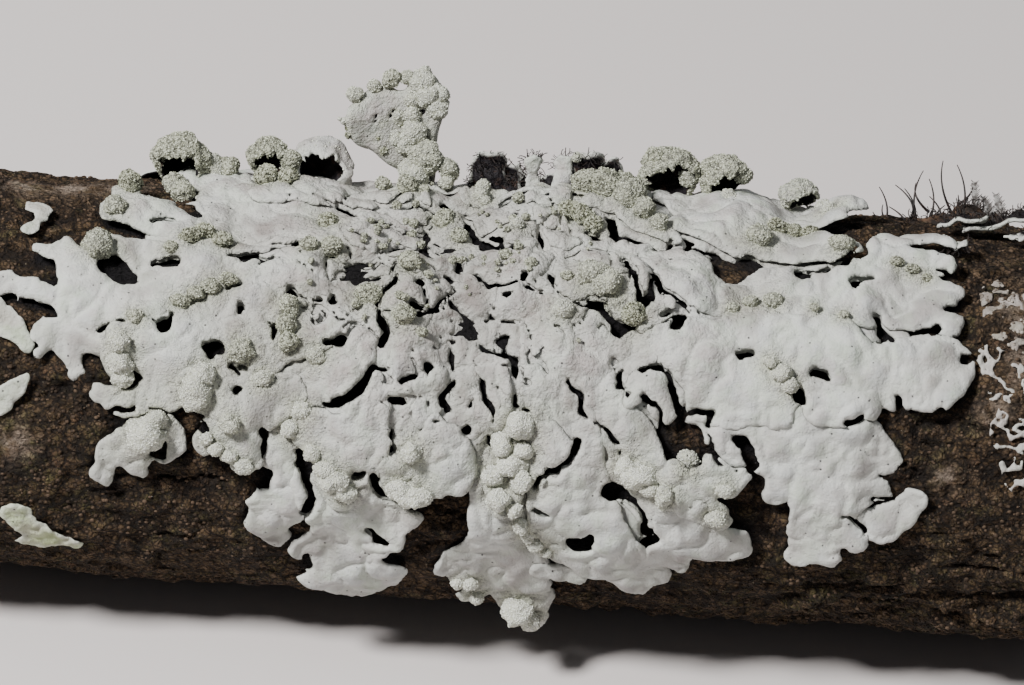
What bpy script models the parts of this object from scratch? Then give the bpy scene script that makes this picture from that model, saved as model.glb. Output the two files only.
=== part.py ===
# Lichen on a twig: a grey leafy lichen wrapped round the upper side of a cut length of twig.
#
# The twig lies along X on the surface z = 0, and the origin is under its middle. Every lobe is
# drawn flat, as if the bark were unrolled: x is millimetres along the twig and s is millimetres
# round it, with s = 0 on the face that looks 40 degrees up from -Y, and s growing over the top.
import math

import bpy
import bmesh
import numpy as np
from mathutils import Vector, noise
from mathutils.geometry import delaunay_2d_cdt

# Driving dimensions, millimetres and degrees
mm = 0.001
twig_length = 72.0
twig_radius = 12.5
twig_taper = 0.01          # growth of the radius for each millimetre towards +X
flat_depth = 0.25          # how deep the resting face is cut into the round underside
twig_sides = 44
ring_spacing = 6.0
face_angle = 40.0          # height of the s = 0 line above the horizontal, seen from the axis
crowding = 0.0072          # lobes crowd together towards the top and the underside
crowding_reach = 20.0
lobe_lift = 0.50           # clear height between bark and lobe
lobe_thickness = 0.85
curl_thickness = 0.55      # the lobes that rise off the bark are thinner
lobe_gap = 0.32            # space between neighbouring lobes
grid_step = 0.25
outline_tolerance = 0.11
longest_arc = 2.6           # longest straight step round the bark, so that no chord cuts into it
inner_columns = 4.5        # spacing of the points inside a lobe, along the twig

# Lobes that hug the bark: level (a higher one lies over a lower one), then its arms.
# An arm is a chain of (x, s, half width) from the lobe's root to its tip.
flat_lobes = {
    "lobe_far_left": (2, [
        [(-15.5, 8, 1.6), (-19, 7, 2.4), (-23, 5.8, 2.9), (-26.5, 5.4, 2.1), (-29.3, 5.2, 1.3), (-31.8, 5.6, 0.9)],
        [(-22, 8, 1.6), (-24.3, 8.6, 1.4), (-26, 9.2, 1.0)], [(-27, 7, 1.3), (-28.6, 8, 0.9), (-29.7, 8.3, 0.6)],
        [(-25, 4, 2.1), (-27.5, 2.9, 1.5), (-29, 2.6, 0.9)], [(-27.6, 2.2, 1.1), (-27, 0.4, 0.5)]]),
    "lobe_left_middle": (3, [
        [(-14.5, 5, 1.8), (-18, 4, 2.2), (-21, 1.8, 2.1), (-22.6, 0.8, 1.9), (-24.5, 1.3, 1.2)],
        [(-19, 2.4, 2.4), (-21.3, -0.6, 1.5), (-24.3, -1.4, 0.9), (-25.4, -1.1, 0.6)]]),
    "lobe_left_low": (2, [
        [(-21.5, -2.8, 1.0), (-23, -3.6, 1.4), (-24.3, -5, 1.2), (-25, -6.3, 0.9)],
        [(-22.3, -4, 1.1), (-22.9, -5.8, 0.7)], [(-21.8, -3.1, 1.1), (-20.7, -3.3, 0.8), (-20.6, -4.3, 0.8)]]),
    "lobe_left_hump": (4, [
        [(-14, -0.6, 1.5), (-16.4, -1.5, 1.9), (-17.8, -3, 1.4), (-18.6, -3.6, 0.8)],
        [(-16.6, -2.8, 1.6), (-16.2, -4.5, 1.0)], [(-17.2, -0.6, 1.6), (-19.3, -0.3, 1.4)]]),
    "lobe_left_beads": (5, [
        [(-11.2, 3.8, 1.2), (-13.5, 3.2, 1.6), (-16, 2.6, 1.4), (-17.2, 2.2, 0.9)], [(-15.2, 2.2, 1.3), (-15.6, 0.5, 0.8)]]),
    "lobe_upper_left": (1, [
        [(-13.5, 12, 1.2), (-17, 12, 3.0), (-20, 11.8, 2.6), (-23, 12.2, 1.9), (-25.3, 12.4, 1.1)],
        [(-18, 14.5, 2.4), (-18, 17.5, 2.1)], [(-20, 13, 1.5), (-20.4, 9.8, 1.9)], [(-16, 10.5, 1.6), (-14.6, 8.8, 1.3)]]),
    "lobe_top_band": (3, [
        [(-16, 15.6, 1.2), (-13, 15.4, 1.3), (-10.4, 16.6, 1.4), (-7.6, 15.4, 1.8)], [(-15, 18, 1.6), (-10, 19, 2.0)]]),
    "lobe_centre_left": (2, [
        [(-13.2, 7.6, 2.0), (-11.2, 6.6, 2.2), (-10.2, 4.9, 1.9), (-10, 2.7, 1.7), (-11.2, 0.6, 1.7), (-13.3, 0.2, 1.4)],
        [(-13.5, 9, 1.0), (-11.9, 9.2, 1.0)]]),
    "thallus_centre": (1, [
        [(-9, 12.4, 1.6), (-7, 10.4, 2.6), (-5, 7.4, 2.8), (-5.4, 4, 2.0), (-5.6, 0.6, 1.8), (-5.2, -0.6, 1.4)],
        [(-5, 10, 2.6), (-1.8, 9.4, 2.6), (-1.6, 5.6, 2.4), (-2.4, 1.4, 2.2), (-2.2, -1.6, 1.6)],
        [(-7.4, 0.6, 0.9), (-9, -1, 1.1)], [(-3, 13, 2.0), (-2.4, 17, 1.8)]]),
    "lobe_front_left": (4, [
        [(-4.6, -1.8, 0.8), (-4.4, -3.4, 1.8), (-5.4, -4.8, 1.9), (-6.4, -5.6, 1.3)],
        [(-3.6, -3.2, 1.4), (-3, -4.6, 1.2)], [(-7.3, -4.3, 0.9), (-6.5, -4.9, 1.0)]]),
    "lobe_front_shield": (4, [
        [(-8.7, -1.8, 1.5), (-9.4, -3.3, 2.0), (-10.3, -5.2, 1.5), (-10.2, -6.4, 1.0)], [(-9.4, -2.6, 1.8), (-12.2, -2.6, 1.3)]]),
    "lobe_low_left": (2, [
        [(-8.4, -6.8, 1.8), (-9, -9.2, 2.6), (-10, -12.3, 2.4), (-10.3, -14.8, 2.0), (-8.8, -16.3, 1.7)],
        [(-10.6, -12.2, 1.6), (-12.5, -12.3, 0.9)], [(-10.6, -15, 1.3), (-11.6, -15.6, 0.9)],
        [(-8, -13.2, 1.7), (-6.9, -13.3, 1.0)], [(-7.4, -8.6, 1.6), (-5.8, -8.2, 0.8)]]),
    "lobe_low_left_tongue": (1, [
        [(-13.2, -0.8, 1.2), (-13.7, -3.5, 1.3), (-13.7, -6.2, 1.5), (-14.2, -8.4, 1.8), (-14.8, -10, 1.4), (-14.2, -11.2, 1.0)]]),
    "lobe_front_curl": (5, [
        [(1, -1.4, 0.7), (2.4, -2.3, 1.3), (3.1, -2.6, 1.0)], [(0.6, -2, 0.9), (0, -3.4, 1.3), (-0.1, -5, 1.3), (0, -6.1, 1.1)]]),
    "lobe_front_hanging": (1, [
        [(-1.4, -2.8, 1.0), (-0.8, -5.5, 1.5), (-0.2, -8, 1.9), (-0.2, -10.4, 2.1), (0.5, -13, 2.6), (1.2, -15.8, 2.2),
         (1.7, -18.4, 1.6), (2.1, -20.4, 0.9)],
        [(-1, -10.2, 1.1), (-2.6, -12.2, 1.2), (-3.3, -13.8, 0.8)], [(-0.8, -15.4, 0.9), (-1.8, -16.8, 0.7)]]),
    "lobe_front_right": (3, [
        [(1.8, 4.2, 1.6), (2.6, 0.8, 2.2), (3.6, -4, 2.6), (4.4, -7.6, 2.9), (6.2, -10, 2.5), (8.2, -11.6, 1.9), (9.6, -12.4, 1.1)],
        [(3.6, -9.5, 1.8), (5.4, -11.4, 1.4)], [(8, -11.5, 1.5), (8.4, -13.2, 1.2)], [(2.6, -11.4, 0.9), (4.2, -12.7, 0.9)]]),
    "lobe_mid_right": (2, [
        [(4.4, 4.6, 2.2), (5.2, 1.6, 1.8), (5.8, -0.4, 1.3), (7.4, -1.8, 1.7), (8.2, -3.6, 1.8), (9.6, -6, 1.8)],
        [(7.8, 4.4, 1.9), (6.4, 3, 1.9)], [(7.2, 0.5, 0.5), (8, 1.5, 0.9), (9.3, 0.1, 0.9)]]),
    "lobe_low_right": (3, [
        [(10.2, -4.2, 1.3), (10.8, -6.6, 1.7), (11.4, -8.4, 1.7), (12.8, -8.8, 1.6), (14.2, -8.9, 1.3)], [(10.2, -10, 1.4), (11, -11.2, 0.8)]]),
    "lobe_low_right_bead": (4, [
        [(12.4, -3.4, 1.2), (13.6, -3.9, 0.9), (14.3, -3.6, 0.7)], [(12.2, -4, 1.0), (11.6, -5.3, 1.1), (12.8, -6.2, 1.0), (13.5, -6.8, 0.7)]]),
    "lobe_right_low": (2, [
        [(12.6, 0, 1.9), (15.6, -0.5, 2.2), (19, -1.5, 2.4), (21.7, -1.6, 1.9), (22.7, -2.1, 1.4)],
        [(19.4, -3.6, 2.2), (21.4, -4.2, 1.5), (22.9, -4.2, 0.8)], [(19.4, -5.6, 1.9), (19.2, -7.8, 1.7), (18.2, -9.3, 0.9)],
        [(20.4, -6.6, 1.4), (21.7, -7.6, 0.9)], [(16.6, -2.1, 1.5), (15.5, -2.9, 0.6)], [(17, -3.4, 1.4), (16.5, -4.6, 0.8)]]),
    "lobe_right_foot": (1, [[(21.6, -6.4, 1.0), (23, -6.4, 1.1), (24.4, -5.7, 1.1), (25.2, -4.7, 0.9)]]),
    "lobe_right_flake": (4, [[(18.8, 1, 1.2), (20.6, 0.9, 1.2), (21.8, 1.1, 0.9)]]),
    "lobe_right_tip": (3, [
        [(10.8, 3.4, 2.0), (13.5, 3.6, 2.7), (17, 3.6, 2.7), (19.4, 3.8, 2.2), (21.8, 2.8, 1.9), (24.3, 3.2, 2.4), (25.8, 3.3, 2.5)],
        [(12, 0.8, 1.5), (16, 1, 1.7)]]),
    "lobe_right_fingers": (2, [
        [(10.5, 8.8, 2.4), (14, 8.2, 2.6), (17, 8.4, 2.4), (20, 8.2, 2.6), (23.2, 8.6, 2.6), (25.4, 7.9, 1.8), (26.4, 6.9, 1.2)],
        [(23.3, 10.6, 2.2), (25.3, 11.5, 1.0), (26, 11.3, 0.8)], [(22.8, 12.8, 1.6), (24.6, 14, 1.0), (26.7, 13.2, 0.5)]]),
    "lobe_right_upper": (3, [
        [(9, 11, 1.6), (11, 14.6, 2.2), (14, 14.2, 2.6), (17, 13.2, 2.2), (19.4, 11.8, 1.1), (20.4, 11.8, 0.6)],
        [(12, 17, 2.0), (16, 17, 1.6), (18.6, 16.6, 1.0)]]),
    "lobe_top_right": (2, [
        [(0.6, 11, 2.0), (2.8, 10.2, 2.3), (4.6, 9.2, 1.9), (4.4, 7.6, 1.2)], [(1.6, 8.4, 1.6), (3.2, 7.6, 1.3)], [(0.5, 13.2, 1.8), (3.2, 13.2, 1.7)]]),
    "lobe_top_ridge": (3, [[(0.2, 16.4, 1.3), (3.4, 16.8, 1.7), (5.8, 16.4, 1.7), (7.4, 14.6, 1.2), (8.9, 13.2, 0.8)]]),
    "lobe_right_tongue": (4, [[(9.2, 6, 0.7), (8, 5.4, 0.9), (7.2, 5.9, 0.7), (7.6, 7.4, 0.7), (7.6, 8.6, 0.7), (6.8, 9.6, 0.5)]]),
    "thallus_back": (1, [[(-12, 22, 1.8), (-8, 23.4, 2.2), (-3, 24, 2.6), (3, 23.4, 2.4), (8, 21.4, 1.8)]]),
    "lobe_back_far_left": (2, [
        [(-15, 22, 1.9), (-19, 22.8, 2.8), (-23.5, 23.6, 2.8), (-27, 23.4, 2.0), (-29, 24, 1.1)],
        [(-22, 25.6, 2.2), (-25.4, 27.6, 1.8), (-27.2, 29.4, 1.0)], [(-20, 21.6, 1.7), (-24.4, 20.6, 1.5), (-26.6, 19.8, 0.8)]]),
    "lobe_back_left": (3, [
        [(-12, 24.6, 2.2), (-15.5, 27.8, 3.0), (-19.5, 30.6, 2.8), (-22.4, 32.2, 1.7), (-24, 32.2, 0.9)],
        [(-16.4, 31, 2.2), (-18.6, 35, 1.9), (-19, 37.4, 1.0)], [(-20, 32.4, 1.6), (-21.8, 35, 1.0)]]),
    "lobe_back_left_low": (2, [
        [(-8.4, 27, 2.2), (-10.4, 31.4, 3.0), (-12.4, 36, 2.8), (-14, 39, 1.6)], [(-10.6, 36.4, 2.0), (-9.6, 40.4, 1.4)],
        [(-13, 36.4, 1.6), (-15.4, 37.4, 0.9)]]),
    "lobe_back_centre": (3, [
        [(-3.4, 27, 2.3), (-3.2, 31, 3.1), (-3.8, 35.8, 2.9), (-4.8, 40, 1.7)], [(-2.4, 36.6, 2.2), (0.2, 39.6, 1.5)],
        [(-5, 35, 1.6), (-6.8, 37.4, 1.1)]]),
    "lobe_back_right_low": (2, [
        [(2.6, 26.4, 2.2), (4.4, 30.4, 3.0), (6.4, 34.6, 2.8), (8, 38, 1.6)], [(7, 33, 2.0), (10.4, 35.4, 1.5), (11.6, 37.2, 0.8)],
        [(5, 35.4, 1.7), (4.2, 38.4, 1.1)]]),
    "lobe_back_right": (3, [
        [(7.4, 24.2, 2.2), (11.2, 27, 2.9), (15, 30, 2.7), (18.2, 32.2, 1.5)], [(13, 30.4, 2.0), (13.8, 34.2, 1.5), (13.2, 36, 0.8)],
        [(15.4, 28.8, 1.7), (19, 28.8, 1.2)]]),
    "lobe_back_far_right": (2, [
        [(11.4, 21, 1.8), (16.4, 22, 2.7), (21, 23, 2.5), (24.6, 23, 1.6), (26.2, 22.4, 0.8)],
        [(19, 24.8, 2.0), (22.4, 27.4, 1.5), (24, 29, 0.8)], [(20, 21.8, 1.8), (23.6, 20, 1.1)]]),
    "crust_grey": (1, [[(29.6, 9.6, 1.0), (31, 7.4, 1.8), (32.6, 5.6, 1.3)]]),
    "crust_white": (1, [[(29.2, 4.6, 0.8), (30.8, 2.4, 1.6), (31.2, -0.2, 1.6), (31.6, -2.8, 0.9)], [(32, 1.2, 1.2), (34, 0.4, 0.9)]]),
    "lichen_scrap_lobed": (1, [[(-30.6, 13, 0.6), (-29.9, 12.2, 0.5), (-30, 11.2, 0.5), (-30.6, 10.4, 0.6)]]),
    "lichen_scrap_left": (1, [[(-32.6, 4, 0.9), (-31.2, 2.8, 0.7), (-30.2, 1.8, 0.6)]]),
    "lichen_scrap_left_low": (1, [[(-33, -2.6, 0.9), (-31.4, -2, 0.9), (-30.2, -0.6, 0.5)]]),
    "lichen_scrap_green": (1, [
        [(-30.4, -10.6, 0.9), (-29.6, -11.8, 1.0), (-28.4, -12.8, 0.9), (-26.6, -13.6, 0.6)], [(-29.6, -13.6, 0.6), (-28, -13.6, 0.7)]]),
}

# Holes and wide cracks through the lobes: chains of (x, s, half width)
gaps = [
    [(-25.2, 7.4, 0.85), (-24.8, 7, 0.9)], [(-30.8, 7, 0.75), (-29.4, 6.7, 0.85)], [(-30.6, 4.1, 0.5), (-28.5, 3.7, 0.3)],
    [(-21.2, 14.2, 0.5), (-20.5, 12.7, 0.5)], [(-23, 14.6, 0.6), (-22, 14.9, 0.5)], [(-22.3, 8.1, 0.38), (-21.2, 8.1, 0.4)],
    [(-23.7, -0.6, 0.3), (-23, -0.1, 0.4)], [(-21.6, -4.5, 0.45), (-21.4, -4.1, 0.35)], [(-14.9, -5.8, 0.6), (-15.4, -5.6, 0.6)],
    [(-13.1, -3.9, 0.25), (-12.4, -5.1, 0.4), (-12.5, -6, 0.3), (-11.9, -7, 0.35)], [(6.6, -5.3, 0.6), (6.9, -5.3, 0.55)],
    [(4.6, -9.5, 0.6), (5.1, -9.3, 0.6)], [(10.4, -1, 0.6), (10.9, -1.6, 1.0), (11.4, -2.3, 0.6)],
    [(12.2, 11, 0.75), (13, 10.1, 1.05), (14, 10.9, 0.85)], [(17.3, 10.2, 0.5), (17.5, 10, 0.55)],
    [(24.3, 12.8, 0.3), (26.7, 12.4, 0.32)], [(22.3, 6.6, 0.3), (23.3, 5.1, 0.3)], [(8.2, 8.9, 0.4), (9, 7.5, 0.3)],
    [(5.4, 14.5, 0.3), (5.8, 12.6, 0.4), (7.5, 12.2, 0.3)], [(14.2, -1.5, 0.5), (14.6, -1.8, 0.4)],
    [(-9, 5.6, 0.3), (-8.2, 3.2, 0.3)], [(-8.9, 0.4, 0.3), (-10.5, -0.7, 0.3)],
]

# Lobes that rise off the bark and bend over: root x and s, heading in degrees (0 is +X, 90 is
# over the top), length, half width at the root and at the tip, and the steepness at both ends.
curled_lobes = {
    "hood_far_left": (-21.6, 21.4, -84, 6.4, 1.0, 1.5, 88, -62),
    "hood_left": (-16.8, 21.6, -92, 6.0, 1.1, 1.6, 86, -56),
    "hood_left_arch": (-12.6, 21.8, -100, 5.4, 0.9, 1.1, 84, -50),
    "lobe_top_ascending": (-2.6, 17.6, 96, 4.6, 1.7, 2.0, 30, 96),
    "curl_top_left": (1.0, 19.6, 84, 3.2, 0.7, 0.9, 64, 110),
    "curl_top_brown": (3.6, 20, 96, 3.4, 1.2, 1.0, 60, 124),
    "curl_top_right": (5.6, 20.2, 78, 2.6, 0.6, 0.7, 62, 98),
    "hood_right_arch": (8.8, 21.6, -98, 6.2, 1.2, 1.5, 88, -60),
    "hood_right": (12.0, 21.2, -86, 6.6, 1.1, 1.5, 92, -52),
    "hood_far_right": (17.0, 20.4, -92, 4.0, 0.7, 1.0, 80, -50),
    "lobe_overturned": (29.0, 18.6, -14, 4.4, 0.9, 1.4, 20, 42),
    "lobe_overturned_small": (31.0, 15.4, -34, 3.0, 0.7, 0.9, 16, 40),
}
curl_base = 1.86           # root height above the bark, clear of the lobes below

# The tall lobe that stands up from the top: arms of (x, height above the twig's axis, half width)
erect_arms = [
    [(-6.5, 14.9, 1.2), (-6.1, 16.2, 1.5), (-6.4, 17.6, 1.9), (-7.3, 19.3, 1.6)],
    [(-6.6, 16.2, 1.4), (-8.2, 17.2, 2.0), (-10, 17.6, 2.1), (-10.9, 18.2, 1.0)],
]
erect_lean = 14.0          # degrees that it leans from the line of sight at the top of the twig
erect_thickness = 1.5

collection_name = "lichen_on_a_twig"


def radius_at(x):
    """Radius of the twig, which tapers along its length."""
    return twig_radius + twig_taper * x


def axis_height(x):
    """Height of the twig's axis, so that the flat underside lies on z = 0 all along."""
    return radius_at(x) - flat_depth


def bark_angle(s):
    """Angle above the horizontal, seen from the axis, of a point s round the bark."""
    crowded = s - math.copysign(crowding * min(abs(s), crowding_reach) ** 2, s)
    return math.radians(face_angle) + crowded / twig_radius


def on_bark(x, s, height):
    """The point at x, s and a height above the bark, in millimetres."""
    angle = bark_angle(s)
    reach = radius_at(x) + height
    return Vector((x, -reach * math.cos(angle), axis_height(x) + reach * math.sin(angle)))


def arm_field(xs, ss, chain):
    """Distance from every grid point to a chain of discs that widens from point to point."""
    nearest = np.full(xs.shape, 99.0)
    for (x0, s0, r0), (x1, s1, r1) in zip(chain, chain[1:]):
        dx, ds = x1 - x0, s1 - s0
        along = np.clip(((xs - x0) * dx + (ss - s0) * ds) / (dx * dx + ds * ds), 0, 1)
        away = np.hypot(xs - x0 - along * dx, ss - s0 - along * ds) - (r0 + along * (r1 - r0))
        nearest = np.minimum(nearest, away)
    return nearest


def joined(first, second, blend=0.5):
    """Union of two fields with a filleted inner corner."""
    share = np.clip(0.5 + 0.5 * (second - first) / blend, 0, 1)
    return second + (first - second) * share - blend * share * (1 - share)


def lobe_field(xs, ss, arms):
    """The field of a whole lobe: its arms run together."""
    field = arm_field(xs, ss, arms[0])
    for arm in arms[1:]:
        field = joined(field, arm_field(xs, ss, arm))
    return field


def crossing_loops(xs, ss, field):
    """Closed loops where the field crosses zero, with the inside on their left."""
    def cut(a, b):
        share = field[a] / (field[a] - field[b])
        return (xs[a] + share * (xs[b] - xs[a]), ss[a] + share * (ss[b] - ss[a]))

    inside = field < 0
    points, follow = {}, {}
    mixed = inside[:-1, :-1].astype(int) + inside[1:, :-1] + inside[:-1, 1:] + inside[1:, 1:]
    for j, i in zip(*np.nonzero((mixed > 0) & (mixed < 4))):
        corners = [(j, i), (j, i + 1), (j + 1, i + 1), (j + 1, i)]
        leaving, entering = [], []
        for a, b in zip(corners, corners[1:] + corners[:1]):
            if inside[a] != inside[b]:
                key = (min(a, b), max(a, b))
                points[key] = cut(*key)
                (leaving if inside[a] else entering).append(key)
        for start, end in zip(leaving, entering if len(entering) == 1 else entering[::-1]):
            follow[start] = end
    loops = []
    while follow:
        first = next(iter(follow))
        loop, key = [], first
        while key in follow:
            loop.append(points[key])
            key = follow.pop(key)
        loops.append(loop)
    return loops


def signed_area(loop):
    return 0.5 * sum(a[0] * b[1] - b[0] * a[1] for a, b in zip(loop, loop[1:] + loop[:1]))


def thinned(run, tolerance):
    """A run of points without those that lie within the tolerance of a straight line."""
    if len(run) < 3:
        return run
    start, end = np.array(run[0]), np.array(run[-1])
    line = end - start
    length = max(np.hypot(*line), 1e-9)
    away = [abs(line[0] * (p[1] - start[1]) - line[1] * (p[0] - start[0])) / length for p in run]
    if math.dist(run[0], run[-1]) < 1e-6:
        away = [math.dist(p, run[0]) for p in run]
    worst = int(np.argmax(away))
    if away[worst] < tolerance:
        return [run[0], run[-1]]
    return thinned(run[:worst + 1], tolerance)[:-1] + thinned(run[worst:], tolerance)


def stepped(rim):
    """A closed loop with its long steps round the bark divided."""
    points = []
    for a, b in zip(rim, rim[1:] + rim[:1]):
        parts = math.ceil(abs(b[1] - a[1]) / longest_arc) or 1
        points += [(a[0] + (b[0] - a[0]) * k / parts, a[1] + (b[1] - a[1]) * k / parts) for k in range(parts)]
    return points


def inside_loop(point, loop):
    """Whether a point lies inside a closed loop."""
    hits = 0
    for a, b in zip(loop, loop[1:] + loop[:1]):
        if (a[1] > point[1]) != (b[1] > point[1]):
            hits += point[0] < a[0] + (point[1] - a[1]) * (b[0] - a[0]) / (b[1] - a[1])
    return hits % 2 == 1


def flat_sheet(xs, ss, field):
    """Triangles that fill the largest region of the field: flat points, and faces over them."""
    loops = [loop for loop in crossing_loops(xs, ss, field) if len(loop) > 6]
    outer = max(loops, key=signed_area)
    rims = [outer] + [loop for loop in loops if signed_area(loop) < -0.6 and inside_loop(loop[0], outer)]
    rims = [stepped(thinned(rim + rim[:1], outline_tolerance)[:-1]) for rim in rims]
    points, edges = [], []
    for rim in rims:
        first = len(points)
        points += rim
        edges += [(first + k, first + (k + 1) % len(rim)) for k in range(len(rim))]
    rows, columns = round(longest_arc / grid_step), round(inner_columns / grid_step)
    for j in range(0, xs.shape[0], rows):
        for i in range(j // rows % 2 * columns // 2, xs.shape[1], columns):
            if field[j, i] < -0.9 and inside_loop((xs[j, i], ss[j, i]), outer):
                points.append((xs[j, i], ss[j, i]))
    flat, _, faces, *_ = delaunay_2d_cdt([Vector(p) for p in points], edges, [], 2, 1e-5)
    return flat, faces


def part_material(name, colour, roughness):
    material = bpy.data.materials.new(name)
    material.use_nodes = True
    shader = material.node_tree.nodes["Principled BSDF"]
    shader.inputs["Base Color"].default_value = (*colour, 1.0)
    shader.inputs["Roughness"].default_value = roughness
    shader.inputs["Metallic"].default_value = 0.0
    return material


def add_part(name, mesh, colour, roughness=0.85):
    """Link a mesh as the named piece, with a material of its own."""
    piece = bpy.data.objects.new(name, mesh)
    mesh.materials.append(part_material(name, colour, roughness))
    bpy.data.collections[collection_name].objects.link(piece)
    return piece


def add_sheet(name, flat, faces, place, thickness, colour):
    """Bend a flat sheet with place(x, s) and thicken it on its outer side."""
    mesh = bpy.data.meshes.new(name)
    mesh.from_pydata([place(p.x, p.y) * mm for p in flat], [], faces)
    piece = add_part(name, mesh, colour)
    solidify = piece.modifiers.new("thickness", "SOLIDIFY")
    solidify.thickness = thickness * mm
    solidify.offset = 1.0
    return piece


def make_twig():
    """A round length of twig with uneven bark, cut square at both ends, flat underneath."""
    bpy.ops.mesh.primitive_cylinder_add(
        vertices=twig_sides, radius=twig_radius * mm, depth=twig_length * mm, rotation=(0, math.pi / 2, 0))
    twig = bpy.context.object
    twig.name = "twig"
    bpy.ops.object.transform_apply(location=False, rotation=True, scale=False)
    bpy.ops.object.shade_smooth_by_angle(angle=math.radians(40))
    shape = bmesh.new()
    shape.from_mesh(twig.data)
    for ring in np.arange(ring_spacing - twig_length / 2, twig_length / 2 - 1, ring_spacing):
        bmesh.ops.bisect_plane(
            shape, geom=shape.verts[:] + shape.edges[:] + shape.faces[:],
            plane_co=(ring * mm, 0, 0), plane_no=(1, 0, 0))
    for vert in shape.verts:
        x, angle = vert.co.x / mm, math.atan2(vert.co.z, -vert.co.y)
        dent = 0.35 * abs(noise.noise(Vector((x * 0.11, math.cos(angle) * 2.1, math.sin(angle) * 2.1))))
        reach = radius_at(x) - dent
        vert.co = Vector((x, -reach * math.cos(angle), max(0.0, axis_height(x) + reach * math.sin(angle)))) * mm
    shape.to_mesh(twig.data)
    shape.free()
    twig.data.materials.append(part_material("twig", (0.085, 0.062, 0.045), 0.95))
    for holder in twig.users_collection:
        holder.objects.unlink(twig)
    bpy.data.collections[collection_name].objects.link(twig)


def make_flat_lobes():
    """The lobes, crusts and scraps that follow the bark, each clipped by those that lie over it."""
    xs, ss = np.meshgrid(np.arange(-35.5, 35.51, grid_step), np.arange(-23, 44.01, grid_step))
    fields = {name: lobe_field(xs, ss, arms) for name, (level, arms) in flat_lobes.items()}
    holes = np.minimum.reduce([arm_field(xs, ss, chain) for chain in gaps])
    colours = {"lobe": (0.50, 0.51, 0.48), "thallus": (0.42, 0.40, 0.37), "crust": (0.55, 0.57, 0.52), "lichen": (0.52, 0.56, 0.40)}
    names = list(flat_lobes)
    for rank, name in enumerate(names):
        level = flat_lobes[name][0]
        field = np.maximum(fields[name], -holes)
        for other_rank, other in enumerate(names):
            if (flat_lobes[other][0], -other_rank) > (level, -rank):
                field = np.maximum(field, lobe_gap - fields[other])
        flat, faces = flat_sheet(xs, ss, field)
        add_sheet(name, flat, faces, lambda x, s: on_bark(x, s, lobe_lift), lobe_thickness, colours[name.split("_")[0]])


def make_curled_lobes():
    """Hoods and curls: tongues that leave the bark and bend up or over."""
    for name, (x, s, heading, length, root, tip, start, end) in curled_lobes.items():
        along, across = np.meshgrid(np.arange(-1, length + 3, grid_step), np.arange(-4, 4.01, grid_step))
        field = arm_field(along, across, [(root, 0, root), (length * 0.55, 0, (root + tip) / 2), (length - tip, 0, tip)])
        flat, faces = flat_sheet(along, across, field)
        base = on_bark(x, s, curl_base)
        out = (base - Vector((x, 0, axis_height(x)))).normalized()
        over = Vector((0, out.z, -out.y))
        turn = math.radians(heading)
        forward = Vector((math.cos(turn), 0, 0)) + over * math.sin(turn)
        side = out.cross(forward)
        first, last = math.radians(start), math.radians(end)
        bend = length / (last - first)

        def place(t, u):
            angle = first + (last - first) * t / length
            reach = bend * (math.sin(angle) - math.sin(first))
            rise = bend * (math.cos(first) - math.cos(angle))
            return base + forward * reach + out * rise + side * u

        add_sheet(name, flat, faces, place, curl_thickness, (0.46, 0.47, 0.42))


def make_erect_lobe():
    """The tall lobe that stands up from the top of the thallus, cupped towards the front."""
    across, up = np.meshgrid(np.arange(-15, -2, grid_step), np.arange(10, 24, grid_step))
    flat, faces = flat_sheet(across, up, lobe_field(across, up, erect_arms))
    tilt = math.radians(90 + face_angle - erect_lean)
    rise = Vector((0, -math.cos(tilt), math.sin(tilt)))
    front = Vector((0, -math.sin(tilt), -math.cos(tilt)))

    def place(x, height):
        cup = 0.06 * (x + 8) ** 2
        return Vector((x, 0, axis_height(x))) + rise * height + front * (cup - 1.0)

    add_sheet("erect_lobe", flat, faces, place, erect_thickness, (0.52, 0.53, 0.47))


def main():
    for old in list(bpy.data.objects):
        bpy.data.objects.remove(old, do_unlink=True)
    bpy.context.scene.collection.children.link(bpy.data.collections.new(collection_name))
    make_twig()
    make_flat_lobes()
    make_curled_lobes()
    make_erect_lobe()


main()
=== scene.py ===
# Looks of a lichen-covered twig: bark, leafy lobes, powdery balls, hoods, root hairs and crusts.
# Lobes are drawn as if the bark were unrolled: x is millimetres along the twig, s is millimetres
# round it, and s = 0 is the line that faces the camera.
import math
import bmesh
import bpy
import numpy as np
from mathutils import Matrix, Vector


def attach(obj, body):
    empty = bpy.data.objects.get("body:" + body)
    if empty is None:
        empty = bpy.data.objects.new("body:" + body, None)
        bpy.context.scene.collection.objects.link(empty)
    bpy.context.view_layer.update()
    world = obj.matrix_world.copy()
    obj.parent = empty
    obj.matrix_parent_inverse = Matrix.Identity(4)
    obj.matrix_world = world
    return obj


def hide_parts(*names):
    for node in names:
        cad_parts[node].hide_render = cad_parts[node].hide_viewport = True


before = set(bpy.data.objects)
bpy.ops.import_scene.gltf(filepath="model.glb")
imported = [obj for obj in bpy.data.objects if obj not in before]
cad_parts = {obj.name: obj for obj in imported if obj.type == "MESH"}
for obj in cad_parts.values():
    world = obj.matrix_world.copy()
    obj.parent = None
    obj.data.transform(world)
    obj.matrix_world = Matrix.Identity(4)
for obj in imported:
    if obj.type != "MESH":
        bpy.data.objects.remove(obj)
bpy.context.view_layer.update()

mm = 0.001
rootBody = "root"
faceAngle = math.radians(40)              # height of the s = 0 line, seen from the twig's axis
crowding, crowdingReach = 0.0072, 20.0    # lobes crowd together towards the top and the underside

twigSpec = {
    "length": 72.0, "radius": 12.5, "taper": 0.01, "flatDepth": 0.25,
    "around": 300, "along": 262, "endRings": 14,
    "swell": 0.22, "ledges": 0.19, "furrows": 0.40, "knobs": 0.26, "grit": 0.10,
}


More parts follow.
